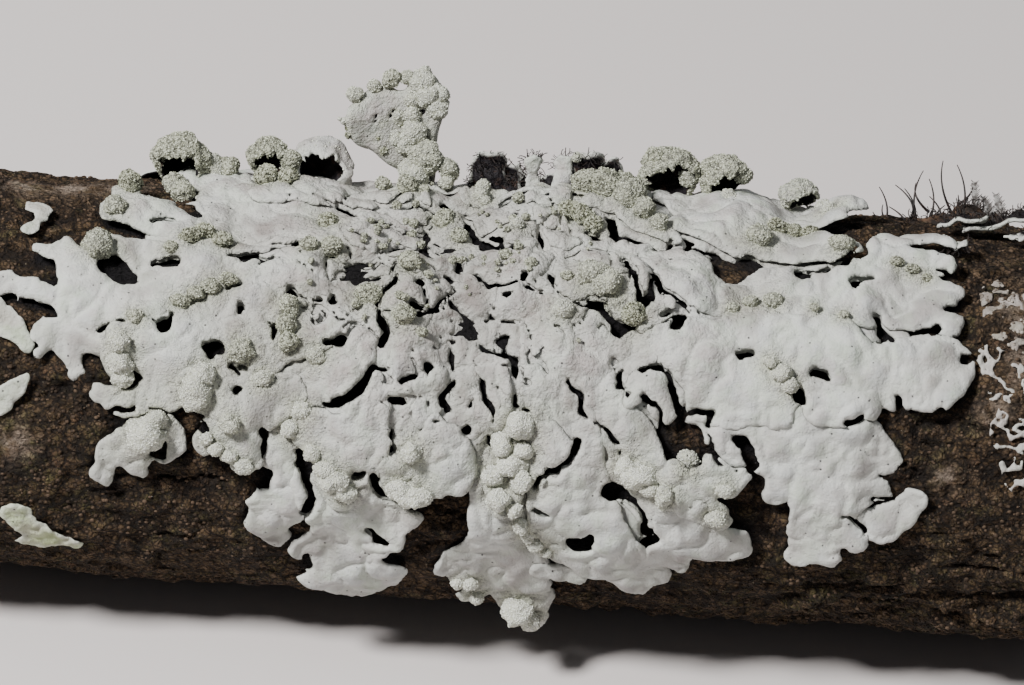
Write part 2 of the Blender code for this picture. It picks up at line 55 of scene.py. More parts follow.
class Socket:
    # one shader value: arithmetic on it adds Math nodes to its tree
    def __init__(self, shader, link):
        self.shader, self.link = shader, link

    def maths(self, operation, first, second):
        return self.shader.node("ShaderNodeMath", {"operation": operation}, [first, second])

    def __add__(self, other):
        return self.maths("ADD", self, other)

    def __sub__(self, other):
        return self.maths("SUBTRACT", self, other)

    def __rsub__(self, other):
        return self.maths("SUBTRACT", other, self)

    def __mul__(self, other):
        return self.maths("MULTIPLY", self, other)

    __radd__, __rmul__ = __add__, __mul__

    def rise(self, low, high):
        # 0 at low, 1 at high and a smooth step between them; low may be the larger
        return self.shader.node("ShaderNodeMapRange", {"interpolation_type": "SMOOTHSTEP"},
                                [self, low, high, 0.0, 1.0])


class Shader:
    def __init__(self, name):
        self.material = bpy.data.materials.new(name)
        self.material.use_nodes = True
        self.tree = self.material.node_tree
        self.skin = self.tree.nodes["Principled BSDF"]
        self.place = self.scaled(self.node("ShaderNodeTexCoord", output="Object"), 1 / mm)

    def node(self, kind, settings=(), inputs=(), output=0):
        made = self.tree.nodes.new(kind)
        for key, value in dict(settings).items():
            setattr(made, key, value)
        for key, value in inputs.items() if isinstance(inputs, dict) else enumerate(inputs):
            if isinstance(value, Socket):
                self.tree.links.new(value.link, made.inputs[key])
            else:
                made.inputs[key].default_value = value
        return Socket(self, made.outputs[output])

    def vectors(self, operation, first, second):
        return self.node("ShaderNodeVectorMath", {"operation": operation}, [first, second])

    def scaled(self, vector, scale):
        return self.node("ShaderNodeVectorMath", {"operation": "SCALE"}, {"Vector": vector, "Scale": scale})

    def spread(self, stretch):
        return self.place if stretch is None else self.vectors("MULTIPLY", self.place, stretch)

    def noise(self, scale, detail=3.0, roughness=0.55, stretch=None):
        return self.node("ShaderNodeTexNoise", {}, {
            "Vector": self.spread(stretch), "Scale": scale, "Detail": detail, "Roughness": roughness})

    def cells(self, scale, output="Distance", feature="F1", stretch=None, warp=0.0):
        spot = self.spread(stretch)
        if warp:
            drift = self.node("ShaderNodeTexNoise", {}, {
                "Vector": spot, "Scale": 1.1 * scale, "Detail": 3.0}, "Color")
            spot = self.vectors("ADD", spot, self.scaled(drift, warp / scale))
        inputs = {"Vector": spot, "Scale": scale}
        return self.node("ShaderNodeTexVoronoi", {"feature": feature}, inputs, output)

    def value(self, name):
        return self.node("ShaderNodeAttribute", {"attribute_name": name}, output="Fac")

    def blend(self, share, first, second):
        # sockets 6 and 7 are the Mix node's two colours, and output 2 its mixed colour
        first, second = (c if isinstance(c, Socket) else (*c, 1.0) for c in (first, second))
        return self.node("ShaderNodeMix", {"data_type": "RGBA"}, {0: share, 6: first, 7: second}, output=2)

    def bump(self, height, distance, strength=1.0, under=None):
        inputs = {"Strength": strength, "Distance": distance * mm, "Height": height}
        if under is not None:
            inputs["Normal"] = under
        return self.node("ShaderNodeBump", {}, inputs)

    def finish(self, colour, roughness, normal, specular=0.3):
        self.skin.inputs["Specular IOR Level"].default_value = specular
        for key, value in {"Base Color": colour, "Roughness": roughness, "Normal": normal}.items():
            if isinstance(value, Socket):
                self.tree.links.new(value.link, self.skin.inputs[key])
            else:
                self.skin.inputs[key].default_value = value
        return self.material


def lichenMaterial(name, young, old, powderTone, green):
    # skin with tiny black dots, painted pinkish shade in the hollows of its relief, powder where "powder" is
    # 1, black underneath
    shader = Shader(name)
    keys = ("age", "powder", "speck", "under", "edge", "dip")
    age, powder, speck, under, edge, dip = (shader.value(key) for key in keys)
    patches = shader.noise(0.42, 4.0, 0.6).rise(0.38, 0.62)
    mottle = shader.noise(2.6, 3.0, 0.6)
    pits = shader.noise(8.0, 3.0, 0.7).rise(0.48, 0.30)
    colour = shader.blend(age, young, old)
    colour = shader.blend(patches * (0.42 + 0.40 * age), colour, (0.39, 0.335, 0.315))
    colour = shader.blend(shader.noise(1.3, 4.0, 0.6).rise(0.50, 0.72) * 0.5, colour, (0.34, 0.32, 0.29))
    colour = shader.blend(shader.noise(0.55, 3.0).rise(0.45, 0.66) * (0.75 - 0.5 * age), colour, green)
    colour = shader.blend(mottle.rise(0.45, 0.80) * 0.25, colour, (0.66, 0.67, 0.64))
    colour = shader.blend(mottle.rise(0.52, 0.25) * (0.15 + 0.5 * age), colour, (0.27, 0.24, 0.22))
    colour = shader.blend(pits * (0.12 + 0.6 * age), colour, (0.16, 0.145, 0.14))
    # painted shade: darker pinkish brown in the hollows of the lobes' relief
    colour = shader.blend(dip * (0.52 + 0.25 * age), colour, (0.22, 0.195, 0.18))
    colour = shader.blend(edge * 0.5, colour, (0.68, 0.70, 0.65))
    dots = shader.cells(1.7).rise(0.15, 0.09) * shader.noise(0.8, 2.0).rise(0.47, 0.55)
    colour = shader.blend(dots * (1 - under) * 0.9, colour, (0.03, 0.026, 0.03))
    grains = shader.cells(7.0)
    fresh = shader.blend(grains.rise(0.35, 0.8), powderTone, (0.46, 0.47, 0.38))
    blotches = shader.noise(5.0, 3.0, 0.7).rise(0.42, 0.55)
    stale = shader.blend(blotches, (0.055, 0.055, 0.035), (0.40, 0.41, 0.31))
    colour = shader.blend(powder, colour, shader.blend(speck, fresh, stale))
    browned = shader.noise(1.6, 3.0).rise(0.56, 0.72)
    below = shader.blend(browned, (0.008, 0.006, 0.008), (0.045, 0.022, 0.014))
    colour = shader.blend(under.rise(0.30, 0.60), colour, below)
    wrinkles = (0.25 + 0.75 * age) * (shader.noise(0.9, 3.0, 0.5) + 0.7 * shader.noise(3.6, 4.0, 0.6))
    relief = shader.bump(wrinkles, 0.55, 0.8)
    relief = shader.bump(shader.noise(6.5, 4.0, 0.7), 0.09, 0.75, relief)
    relief = shader.bump((1 - grains.rise(0.1, 0.6)) * powder, 0.10, 0.8, relief)
    return shader.finish(colour, 0.84 - 0.25 * under, relief)


def granuleMaterial():
    # separate powder granules: cream to olive, a few nearly black where they are stale
    shader = Shader("granules")
    speck = shader.value("speck")
    tone = shader.noise(7.0, 2.0, 0.5)
    fresh = shader.blend(tone.rise(0.35, 0.65), (0.68, 0.70, 0.60), (0.86, 0.87, 0.81))
    stale = shader.blend(tone.rise(0.38, 0.60), (0.20, 0.21, 0.13), (0.62, 0.64, 0.52))
    stale = shader.blend(shader.noise(4.5, 2.0, 0.6).rise(0.46, 0.38), stale, (0.035, 0.04, 0.025))
    relief = shader.bump(shader.noise(12.0), 0.03, 0.6)
    return shader.finish(shader.blend(speck, fresh, stale), 0.88, relief, 0.2)


def barkMaterial():
    shader = Shader("bark")
    keys = ("wood", "felt", "film", "pale", "hollow")
    wood, felt, film, pale, hollow = (shader.value(key) for key in keys)
    grains = shader.cells(2.6, "Distance", stretch=(0.7, 1.0, 1.0))
    broad = shader.noise(0.42, 4.0, 0.62, (0.6, 1.0, 1.0))
    fine = shader.noise(2.1, 5.0, 0.72, (0.75, 1.0, 1.0))
    flecks = shader.noise(5.5, 3.0, 0.6)
    net = shader.cells(0.95, "Distance", "DISTANCE_TO_EDGE", warp=0.9)
    smallNet = shader.cells(2.6, "Distance", "DISTANCE_TO_EDGE", warp=0.5)
    colour = shader.blend(broad.rise(0.38, 0.62), (0.034, 0.020, 0.010), (0.125, 0.080, 0.042))
    colour = shader.blend(fine.rise(0.48, 0.70), colour, (0.195, 0.130, 0.082))
    colour = shader.blend(shader.noise(0.8, 3.0).rise(0.56, 0.70) * 0.6, colour, (0.145, 0.082, 0.050))
    colour = shader.blend(shader.noise(0.6, 3.0).rise(0.52, 0.68) * 0.45, colour, (0.085, 0.085, 0.035))
    algae = film * shader.noise(1.3, 4.0).rise(0.45, 0.70)
    colour = shader.blend(algae * 0.6, colour, (0.10, 0.098, 0.034))
    colour = shader.blend(pale * shader.noise(1.0, 4.0, 0.65).rise(0.34, 0.60), colour, (0.34, 0.27, 0.215))
    colour = shader.blend(fine.rise(0.48, 0.34) * (1 - pale * 0.6), colour, (0.012, 0.008, 0.006))
    colour = shader.blend(smallNet.rise(0.16, 0.02) * 0.75 * (1 - pale), colour, (0.012, 0.008, 0.006))
    colour = shader.blend(net.rise(0.13, 0.02) * 0.8 * (1 - pale), colour, (0.008, 0.006, 0.005))
    # painted shade: nearly black where the bark sinks deep, in its furrows and the crease
    colour = shader.blend(hollow * 0.85, colour, (0.010, 0.007, 0.006))
    colour = shader.blend(flecks.rise(0.66, 0.74) * 0.6, colour, (0.34, 0.29, 0.21))
    # black rhizine felt under the lobes, which also runs a little past their edges as a painted shadow line
    colour = shader.blend(felt, colour, (0.006, 0.005, 0.006))
    pith = (0.0, 1.3, twigSpec["radius"] - 1.0)     # the rings run round the middle of the twig
    fromPith = shader.vectors("SUBTRACT", shader.spread((0.0, 1.0, 1.0)), pith)
    rings = shader.node("ShaderNodeTexWave", {"wave_type": "RINGS", "rings_direction": "X"}, {
        "Vector": fromPith, "Scale": 0.30, "Distortion": 2.6, "Detail": 3.0, "Detail Scale": 0.35})
    sawn = shader.blend(rings, (0.36, 0.25, 0.15), (0.50, 0.38, 0.25))
    sawn = shader.blend(shader.noise(0.5, 4.0).rise(0.45, 0.75) * 0.6, sawn, (0.22, 0.16, 0.10))
    colour = shader.blend(wood, colour, sawn)
    relief = shader.bump(net.rise(0.0, 0.25), 0.30, 0.9)
    relief = shader.bump(smallNet.rise(0.0, 0.25), 0.16, 0.9, relief)
    relief = shader.bump(fine, 0.75, 0.9, relief)
    relief = shader.bump(grains.rise(0.55, 0.1), 0.16, 0.8, relief)
    relief = shader.bump(flecks, 0.10, 0.7, relief)
    return shader.finish(colour, 0.9, relief, 0.25)


def plainMaterial(name, dark, light, scale, roughness=0.6, distance=0.1):
    shader = Shader(name)
    tone = shader.noise(scale, 3.0, 0.6)
    colour = shader.blend(tone.rise(0.4, 0.65), dark, light)
    return shader.finish(colour, roughness, shader.bump(tone, distance, 0.6))


# smooth random numbers in space, repeating after this many cells
latticeCells = 48
lattice = np.random.default_rng(11).uniform(-1, 1, (latticeCells, latticeCells, latticeCells))


def ripple(x, y, z, size, layers=1):
    # smooth noise from about -1 to 1, with bumps of the given size
    total, weight, reach = 0.0, 1.0, 0.0
    for layer in range(layers):
        corner, share = [], []
        for axis in (x, y, z):
            scaled = np.asarray(axis, float) / size + 17.3 * layer + 100.0
            whole = np.floor(scaled).astype(int)
            part = scaled - whole
            corner.append(whole % latticeCells)
            share.append(part * part * (3 - 2 * part))
        value = 0.0
        for step in range(8):
            picks, amount = [], 1.0
            for axis in range(3):
                far = step >> axis & 1
                picks.append((corner[axis] + far) % latticeCells)
                amount = amount * (share[axis] if far else 1 - share[axis])
            value = value + lattice[picks[0], picks[1], picks[2]] * amount
        total, reach = total + value * weight, reach + weight
        weight, size = weight * 0.5, size * 0.5
    return total / reach * 1.6


def radiusAt(x):
    return twigSpec["radius"] + twigSpec["taper"] * x


def axisHeight(x):
    return radiusAt(x) - twigSpec["flatDepth"]


def barkAngle(s):
    s = np.asarray(s, float)
    squeeze = crowding * np.minimum(np.abs(s), crowdingReach) ** 2
    return faceAngle + (s - np.sign(s) * squeeze) / twigSpec["radius"]


def onTwig(x, angle, height):
    # points at a height above the smooth bark, in millimetres
    reach = radiusAt(x) + height
    return np.stack([x + 0 * reach, -reach * np.cos(angle), axisHeight(x) + reach * np.sin(angle)], -1)


def onBark(x, s, height):
    return onTwig(np.asarray(x, float), barkAngle(s), np.asarray(height, float))


def armField(xs, ss, chain):
    # distance to a chain of discs (x, s, half width) that widens from point to point
    nearest = np.full(xs.shape, 99.0)
    for (x0, s0, r0), (x1, s1, r1) in zip(chain, chain[1:]):
        dx, ds = x1 - x0, s1 - s0
        along = np.clip(((xs - x0) * dx + (ss - s0) * ds) / (dx * dx + ds * ds + 1e-9), 0, 1)
        away = np.hypot(xs - x0 - along * dx, ss - s0 - along * ds) - (r0 + along * (r1 - r0))
        nearest = np.minimum(nearest, away)
    return nearest


def lobeField(xs, ss, arms, blend=0.5):
    # all arms of a lobe run together, with filleted inner corners
    field = armField(xs, ss, arms[0])
    for arm in arms[1:]:
        other = armField(xs, ss, arm)
        share = np.clip(0.5 + 0.5 * (other - field) / blend, 0, 1)
        field = other + (field - other) * share - blend * share * (1 - share)
    return field


def fillRegion(xs, ss, field):
    # a flat mesh over the part of the grid where the field is below 0, with a smooth outline
    inside = field < 0
    number = np.full(field.shape, -1)
    number[inside] = np.arange(inside.sum())
    flat = np.column_stack([xs[inside], ss[inside]])
    count = inside[:-1, :-1].astype(int) + inside[1:, :-1] + inside[:-1, 1:] + inside[1:, 1:]
    j, i = np.nonzero(count == 4)
    corners = [number[j, i], number[j, i + 1], number[j + 1, i + 1], number[j + 1, i]]
    faces = np.column_stack(corners).tolist()
    rim, rimPoints = {}, []

    def crossing(a, b):
        key = (min(a, b), max(a, b))
        if key not in rim:
            share = min(max(field[key[0]] / (field[key[0]] - field[key[1]]), 0.06), 0.94)
            rim[key] = len(flat) + len(rimPoints)
            rimPoints.append([grid[key[0]] + share * (grid[key[1]] - grid[key[0]]) for grid in (xs, ss)])
        return rim[key]

    for j, i in zip(*np.nonzero((count > 0) & (count < 4))):
        corners = [(j, i), (j, i + 1), (j + 1, i + 1), (j + 1, i)]
        outline, cuts = [], 0
        for a, b in zip(corners, corners[1:] + corners[:1]):
            if inside[a]:
                outline.append(int(number[a]))
            if inside[a] != inside[b]:
                outline.append(crossing(a, b))
                cuts += 1
        if cuts == 4:   # two opposite corners: two separate triangles
            start = 0 if inside[corners[0]] else 1
            turned = outline[-1:] + outline[:-1] if start == 0 else outline
            faces += [turned[:3], turned[3:]] if start == 0 else [outline[0:3], outline[3:6]]
        else:
            faces.append(outline)
    points = np.vstack([flat, np.array(rimPoints).reshape(-1, 2)])
    return points, faces, len(flat)


def shell(points, values, faces):
    return {"points": np.asarray(points, float), "values": values, "faces": faces}


def joined(shells):
    points, faces, start = [], [], 0
    keys = sorted({key for part in shells for key in part["values"]})
    values = {key: [] for key in keys}
    for part in shells:
        size = len(part["points"])
        points.append(part["points"])
        faces += [[corner + start for corner in face] for face in part["faces"]] if start else part["faces"]
        for key in keys:
            values[key].append(np.broadcast_to(part["values"].get(key, 0.0), size))
        start += size
    return shell(np.vstack(points), {key: np.concatenate(values[key]) for key in keys}, faces)


def pieceFrom(name, part, material):
    mesh = bpy.data.meshes.new(name)
    mesh.from_pydata((part["points"] * mm).tolist(), [], part["faces"])
    for key, value in part["values"].items():
        mesh.attributes.new(key, "FLOAT", "POINT").data.foreach_set(
            "value", np.broadcast_to(value, len(part["points"])).astype(np.float32))
    mesh.materials.append(material)
    mesh.shade_smooth()
    piece = bpy.data.objects.new(name, mesh)
    bpy.context.scene.collection.objects.link(piece)
    return piece


def handOver(piece, slotName, *nodes):
    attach(piece, rootBody)
    if nodes:
        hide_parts(*nodes)
    return piece


def sheetShell(xs, ss, field, middle, thickness, place, roundness=0.22, **values):
    # a closed sheet with a rounded rim: middle(x, s, edge) is the height of its mid-surface
    points, faces, flatCount = fillRegion(xs, ss, field)
    x, s = points[:, 0], points[:, 1]
    edge = np.concatenate([-field[field < 0], np.zeros(len(points) - flatCount)])
    inward = 1 - np.minimum(edge / roundness, 1.0)
    half = thickness / 2 * np.sqrt(np.maximum(0.0, 1 - inward ** 2))
    height = middle(x, s, edge)
    top = place(x, s, height + half)
    under = place(x[:flatCount], s[:flatCount], (height - half)[:flatCount])
    number = np.concatenate([np.arange(flatCount) + len(points), np.arange(flatCount, len(points))])
    turned = [[int(number[corner]) for corner in reversed(face)] for face in faces]
    values = {key: value(x, s, edge) if callable(value) else np.full(len(x), float(value))
              for key, value in values.items()}
    values["edge"] = 1 - np.minimum(edge / 0.5, 1.0)
    values["under"] = np.zeros(len(x))
    values = {key: np.concatenate([value, value[:flatCount]]) for key, value in values.items()}
    values["under"][flatCount:len(points)] = 0.48
    values["under"][len(points):] = 1.0
    part = shell(np.vstack([top, under]), values, faces + turned)
    part["flat"] = np.vstack([points, points[:flatCount]])
    return part


# Leafy lobes: CAD node, then its sheets, each a level (a higher one lies over a lower one) and
# arms, chains of (x, s, half width) from root to tip
lobes = {
    "lobe_far_left": [
        (2, [
            [(-15.5, 8, 1.6), (-19, 7, 2.4), (-23, 5.8, 2.9), (-26.5, 5.4, 2.1), (-29.3, 5.2, 1.3),
             (-31.8, 5.6, 0.9)],
            [(-22, 8, 1.6), (-24.3, 8.6, 1.4), (-26, 9.2, 1)],
            [(-27, 7, 1.3), (-28.6, 8, 0.9), (-29.7, 8.3, 0.6)], [(-28, 8, 0.8), (-28.1, 9.2, 0.4)],
            [(-25, 4, 2.1), (-27.5, 2.9, 1.5), (-29, 2.6, 0.9)],
            [(-27.6, 2.2, 1.1), (-27, 0.4, 0.5), (-27.05, -0.2, 0.25)],
            [(-28.6, 1.9, 0.6), (-29.2, 1.1, 0.4)], [(-26.4, 2.8, 1.2), (-25.8, 1.9, 0.7)]]),
    ],
    "lobe_left_middle": [
        (3, [[(-14.5, 5, 1.8), (-18, 4, 2.2), (-21, 1.8, 2.1), (-22.6, 0.8, 1.9), (-24.5, 1.3, 1.2)],
            [(-22, 2.2, 1.7), (-24.2, 2.6, 0.9)],
            [(-19, 2.4, 2.4), (-21.3, -0.6, 1.5), (-24.3, -1.4, 0.9), (-25.4, -1.1, 0.6)]]),
    ],
    "lobe_left_low": [
        (2, [[(-21.5, -2.8, 1), (-23, -3.6, 1.4), (-24.3, -5, 1.15), (-25, -6.3, 0.9), (-24.6, -7, 0.6)],
            [(-22.3, -4, 1.1), (-22.9, -5.8, 0.7), (-22.4, -6.2, 0.35)],
            [(-21.8, -3.1, 1.1), (-20.7, -3.3, 0.8), (-20.6, -4.3, 0.75), (-21.2, -5, 0.45)]]),
    ],
    "lobe_left_hump": [
        (4, [[(-14, -0.6, 1.5), (-16.4, -1.5, 1.9), (-17.8, -3, 1.4), (-18.6, -3.6, 0.8)],
            [(-16.6, -2.8, 1.6), (-16.2, -4.5, 1)], [(-17.2, -0.6, 1.6), (-19.3, -0.3, 1.4)],
            [(-18, 0.2, 0.8), (-18, 1.6, 0.35)]]),
    ],
    "lobe_left_beads": [
        (4, [[(-11.2, 3.8, 1.2), (-13.5, 3.2, 1.6), (-16, 2.6, 1.4), (-17.2, 2.2, 0.9)],
            [(-15.2, 2.2, 1.3), (-15.6, 0.5, 0.8)], [(-13.6, 3.4, 1.3), (-14.4, 4.8, 0.8)]]),
    ],
    "lobe_upper_left": [
        (1, [[(-13.5, 12, 1.2), (-17, 12, 3), (-20, 11.8, 2.6), (-23, 12.2, 1.9), (-25.3, 12.4, 1.1)],
            [(-18, 14.5, 2.4), (-18.4, 17.5, 2.3), (-19.6, 20.4, 2.4)],
            [(-24.6, 13, 1.2), (-24.9, 14.4, 0.9)],
            [(-20, 13, 1.5), (-20.4, 9.8, 1.9)], [(-16, 10.5, 1.6), (-14.6, 8.8, 1.3)]]),
    ],
    "lobe_top_band": [
        (3, [
            [(-16, 15.6, 1.2), (-13, 15.4, 1.3), (-10.4, 16.6, 1.4), (-7.6, 15.4, 1.8), (-6.7, 13.8, 1.1)],
            [(-15.5, 18, 1.7), (-12.6, 19.6, 2.2), (-9, 19.6, 2.2), (-5, 19.4, 1.6)]]),
    ],
    "lobe_centre_left": [
        (2, [
            [(-13.2, 7.6, 2), (-11.2, 6.6, 2.2), (-10.2, 4.9, 1.9), (-10, 2.7, 1.7), (-11.2, 0.6, 1.7),
             (-13.3, 0.2, 1.4)],
            [(-13.5, 9, 1), (-11.9, 9.2, 1)]]),
    ],
    "thallus_centre": [
        (3, [[(-10, 11.2, 1.2), (-8, 11.2, 1.5), (-6.9, 10.9, 1)], [(-9.5, 13, 0.8), (-7.7, 11.5, 1)]]),
        (2, [[(-9.8, 8.6, 0.5), (-8, 8.7, 0.8), (-6.7, 8.4, 1.2), (-5.8, 7.1, 1.2)]]),
        (3, [[(-7.2, 5.6, 1.4), (-5.8, 6.4, 1.3), (-4.9, 7.1, 0.9)], [(-7.2, 4.8, 1.2), (-6.4, 4.4, 0.9)]]),
        (2, [[(-3.3, 9.4, 1), (-1.6, 9.2, 1.2), (-0.6, 9.2, 0.8)], [(-4.6, 9.8, 0.6), (-4.8, 9, 0.7)]]),
        (1, [[(-3.6, 7.2, 1), (-2, 6.2, 1.3), (0, 5.4, 1.8)], [(-3, 6, 0.6), (-1.6, 4.4, 1.2)]]),
        (2, [[(-5, 4.4, 1.2), (-6.3, 3, 1.5), (-6.6, 1.6, 1.2)],
            [(-5.4, 1.6, 1.2), (-5.2, 0.2, 1.1), (-5.4, -1, 0.9)]]),
        (1, [[(-3.6, 5, 0.7), (-3.1, 3, 0.9), (-3, 1, 0.9), (-3.2, -1.2, 0.9)],
            [(-3.1, -0.6, 0.8), (-2.2, -2.2, 0.8)]]),
        (3, [[(-1.3, 2.3, 1), (-0.9, 0.3, 0.8), (-0.6, -1.4, 0.7)], [(-1.2, 2.1, 0.7), (-2, 2.2, 0.6)]]),
        (3, [[(-7.9, 0.6, 0.9), (-8.2, -0.6, 1), (-9.5, -1.4, 1)], [(-7.6, 0.5, 0.7), (-6.4, 0.2, 0.5)]]),
        (3, [[(-2.6, 14.6, 1.2), (-1.6, 13, 1.3), (-1.2, 11.9, 1)], [(-3, 17.6, 1.4), (-2, 16.8, 1.2)]]),
    ],
    "lobe_front_left": [
        (4, [[(-4.6, -1.8, 0.8), (-4.4, -3.4, 1.8), (-5.4, -4.8, 1.9), (-6.4, -5.6, 1.3)],
            [(-3.6, -3.2, 1.4), (-3, -4.6, 1.2)], [(-7.3, -4.3, 0.9), (-6.5, -4.9, 1)]]),
    ],
    "lobe_front_shield": [
        (4, [[(-8.7, -1.8, 1.5), (-9.4, -3.3, 2), (-10.3, -5.2, 1.5), (-10.2, -6.4, 1)],
            [(-9.4, -2.6, 1.8), (-12.2, -2.6, 1.3)], [(-8.3, -3.8, 1.1), (-8.2, -4.5, 0.8)]]),
    ],
    "lobe_low_left": [
        (2, [
            [(-8.4, -6.8, 1.8), (-9, -9.2, 2.6), (-10, -12.3, 2.4), (-10.3, -14.8, 2), (-8.8, -16.3, 1.7),
             (-7.6, -15, 1.6)],
            [(-10.6, -12.2, 1.6), (-12.5, -12.3, 0.9)], [(-10.6, -15, 1.3), (-11.6, -15.6, 0.9)],
            [(-8, -13.2, 1.7), (-6.9, -13.3, 1)], [(-7.4, -8.6, 1.6), (-5.8, -8.2, 0.8)],
            [(-7.6, -9.8, 1.3), (-6.8, -9.9, 0.8)], [(-12, -5.8, 1.2), (-10.8, -8, 1.8)]]),
    ],
    "lobe_low_left_tongue": [
        (1, [
            [(-13.2, -0.8, 1.2), (-13.7, -3.5, 1.3), (-13.7, -6.2, 1.5), (-14.2, -8.4, 1.8),
             (-14.8, -10, 1.4), (-14.2, -11.2, 1)]]),
    ],
    "lobe_front_curl": [
        (5, [[(1, -1.4, 0.7), (2.4, -2.3, 1.3), (3.1, -2.6, 1)],
            [(0.6, -2, 0.9), (0, -3.4, 1.3), (-0.1, -5, 1.3), (0, -6.1, 1.1)],
            [(1, -3.4, 1), (1.6, -4.4, 0.7)]]),
    ],
    "lobe_front_hanging": [
        (1, [
            [(-1.4, -2.8, 1), (-0.8, -5.5, 1.5), (-0.2, -8, 1.9), (-0.2, -10.4, 2.1), (0.5, -13, 2.6),
             (1.2, -15.8, 2.2), (1.7, -18.4, 1.6), (2.1, -20.4, 0.9)],
            [(-1, -10.2, 1.1), (-2.6, -12.2, 1.2), (-3.3, -13.8, 0.8)], [(-1, -14, 1), (-2.3, -15, 0.7)],
            [(-0.8, -15.4, 0.9), (-1.8, -16.8, 0.7)]]),
    ],
    "lobe_front_right": [
        (3, [
            [(1.8, 4.2, 1.6), (2.6, 0.8, 2.2), (3.6, -4, 2.6), (4.4, -7.6, 2.9), (6.2, -10, 2.5),
             (8.2, -11.6, 1.9), (9.6, -12.4, 1.1)],
            [(3.6, -9.5, 1.8), (5.4, -11.4, 1.4)], [(8, -11.5, 1.5), (8.4, -13.2, 1.2)]]),
        (2, [[(2.6, -12.8, 0.8), (3.6, -13, 0.8), (4.7, -13, 0.75)]]),
    ],
    "lobe_mid_right": [
        (2, [
            [(4.4, 4.6, 2.2), (5.2, 1.6, 1.8), (5.8, -0.4, 1.3), (7.4, -1.8, 1.7), (8.2, -3.6, 1.8),
             (9.6, -6, 1.8)],
            [(7.8, 4.4, 1.9), (6.4, 3, 1.9)], [(6.6, -4.2, 1.1), (8, -5, 1.4)]]),
        (4, [[(7.2, 0.5, 0.5), (8, 1.5, 0.9), (8.9, 1.2, 0.9), (9.3, 0.1, 0.9)]]),
    ],
    "lobe_low_right": [
        (3, [
            [(10.2, -4.2, 1.3), (10.8, -6.6, 1.7), (11.4, -8.4, 1.7), (12.8, -8.8, 1.6), (14.2, -8.9, 1.3)],
            [(14.3, -8.6, 0.9), (14.6, -7.9, 0.6)], [(10.2, -10, 1.4), (11, -11.2, 0.8)]]),
    ],
    "lobe_low_right_bead": [
        (4, [[(12.4, -3.4, 1.2), (13.6, -3.9, 0.9), (14.3, -3.6, 0.7)],
            [(11.2, -5.3, 1.1), (12.8, -6.2, 1), (13.5, -6.8, 0.7)]]),
    ],
    "lobe_right_low": [
        (2, [[(12.6, 0, 1.9), (15.6, -0.5, 2.2), (19, -1.5, 2.4), (21.7, -1.6, 1.9), (22.7, -2.1, 1.4)],
            [(19.4, -3.6, 2.2), (21.4, -4.2, 1.5), (22.9, -4.2, 0.8)],
            [(19.4, -5.6, 1.9), (19.2, -7.8, 1.7), (18.2, -9.3, 0.9)], [(19.8, -8, 1.5), (20.3, -9, 0.8)],
            [(20.4, -6.6, 1.4), (21.7, -7.6, 0.9)], [(16.6, -2.1, 1.5), (15.5, -2.9, 0.6)],
            [(17, -3.4, 1.4), (16.5, -4.6, 0.8)], [(13.4, -1, 1.3), (13.9, -2.3, 0.9)]]),
    ],
    "lobe_right_foot": [
        (1, [[(21.6, -6.4, 1), (23, -6.4, 1.1), (24.4, -5.7, 1.1), (25.2, -4.7, 0.9)]]),
    ],
    "lobe_right_flake": [
        (4, [[(18.8, 1, 1.2), (20.6, 0.9, 1.2), (21.8, 1.1, 0.9)], [(18.4, 1.4, 0.6), (18.2, 1.9, 0.5)]]),
    ],
    "lobe_right_tip": [
        (3, [
            [(10.8, 3.4, 2), (13.5, 3.6, 2.7), (17, 3.6, 2.7), (19.4, 3.8, 2.2), (21.8, 2.8, 1.9),
             (24.3, 3.2, 2.4), (25.8, 3.3, 2.5)],
            [(13.4, 5.2, 1.2), (15, 6, 1.1)], [(18.9, 5.4, 1), (19.9, 5.7, 0.7)],
            [(12, 0.8, 1.5), (16, 1, 1.7)]]),
    ],
    "lobe_right_fingers": [
        (2, [
            [(10.5, 8.8, 2.4), (14, 8.2, 2.6), (17, 8.4, 2.4), (20, 8.2, 2.6), (23.2, 8.6, 2.6),
             (25.4, 7.9, 1.8), (26.4, 6.9, 1.2)],
            [(23.3, 10.6, 2.2), (25.3, 11.5, 1), (26, 11.3, 0.8)],
            [(22.8, 12.8, 1.6), (24.6, 14, 1), (25.8, 13.9, 0.7), (26.7, 13.2, 0.5)],
            [(25.4, 9.2, 1.1), (26.8, 8.9, 0.7)]]),
    ],
    "lobe_right_upper": [
        (3, [[(11, 15, 2.2), (14, 14.2, 2.6), (17, 13.2, 2.2), (19.4, 11.8, 1.1), (20.4, 11.8, 0.6)],
            [(11, 18, 2.2), (14, 18.6, 2.2), (17, 18.4, 1.6), (18.6, 16.6, 1), (19.4, 17, 0.8)],
            [(9.4, 19.6, 1.8), (13, 21, 2), (17, 20.4, 1.4), (20.4, 18.6, 0.9)]]),
        (1, [[(6.2, 11.5, 1.3), (8.4, 10.4, 1.6), (10.6, 9.6, 1.2)]]),
    ],
    "lobe_top_right": [
        (2, [[(0.6, 11, 2), (2.8, 10.2, 2.3), (4.6, 9.2, 1.9), (4.4, 7.6, 1.2)],
            [(1.6, 8.4, 1.6), (3.2, 7.6, 1.3)], [(0.5, 13.2, 1.8), (3.2, 13.2, 1.7)]]),
    ],
    "lobe_top_ridge": [
        (3, [
            [(0.2, 16.4, 1.3), (3.4, 16.8, 1.7), (5.8, 16.4, 1.7), (7.4, 14.6, 1.2), (8.9, 13.2, 0.8),
             (9.5, 12.4, 0.5)],
            [(2, 19.5, 1.6), (6, 19.5, 1.8)]]),
    ],
    "lobe_right_tongue": [
        (4, [[(7, 5.9, 0.6), (7.6, 7.4, 0.7), (7.6, 8.6, 0.7), (6.8, 9.6, 0.5)],
            [(8, 5.4, 0.9), (9.2, 6, 0.7)]]),
    ],
}

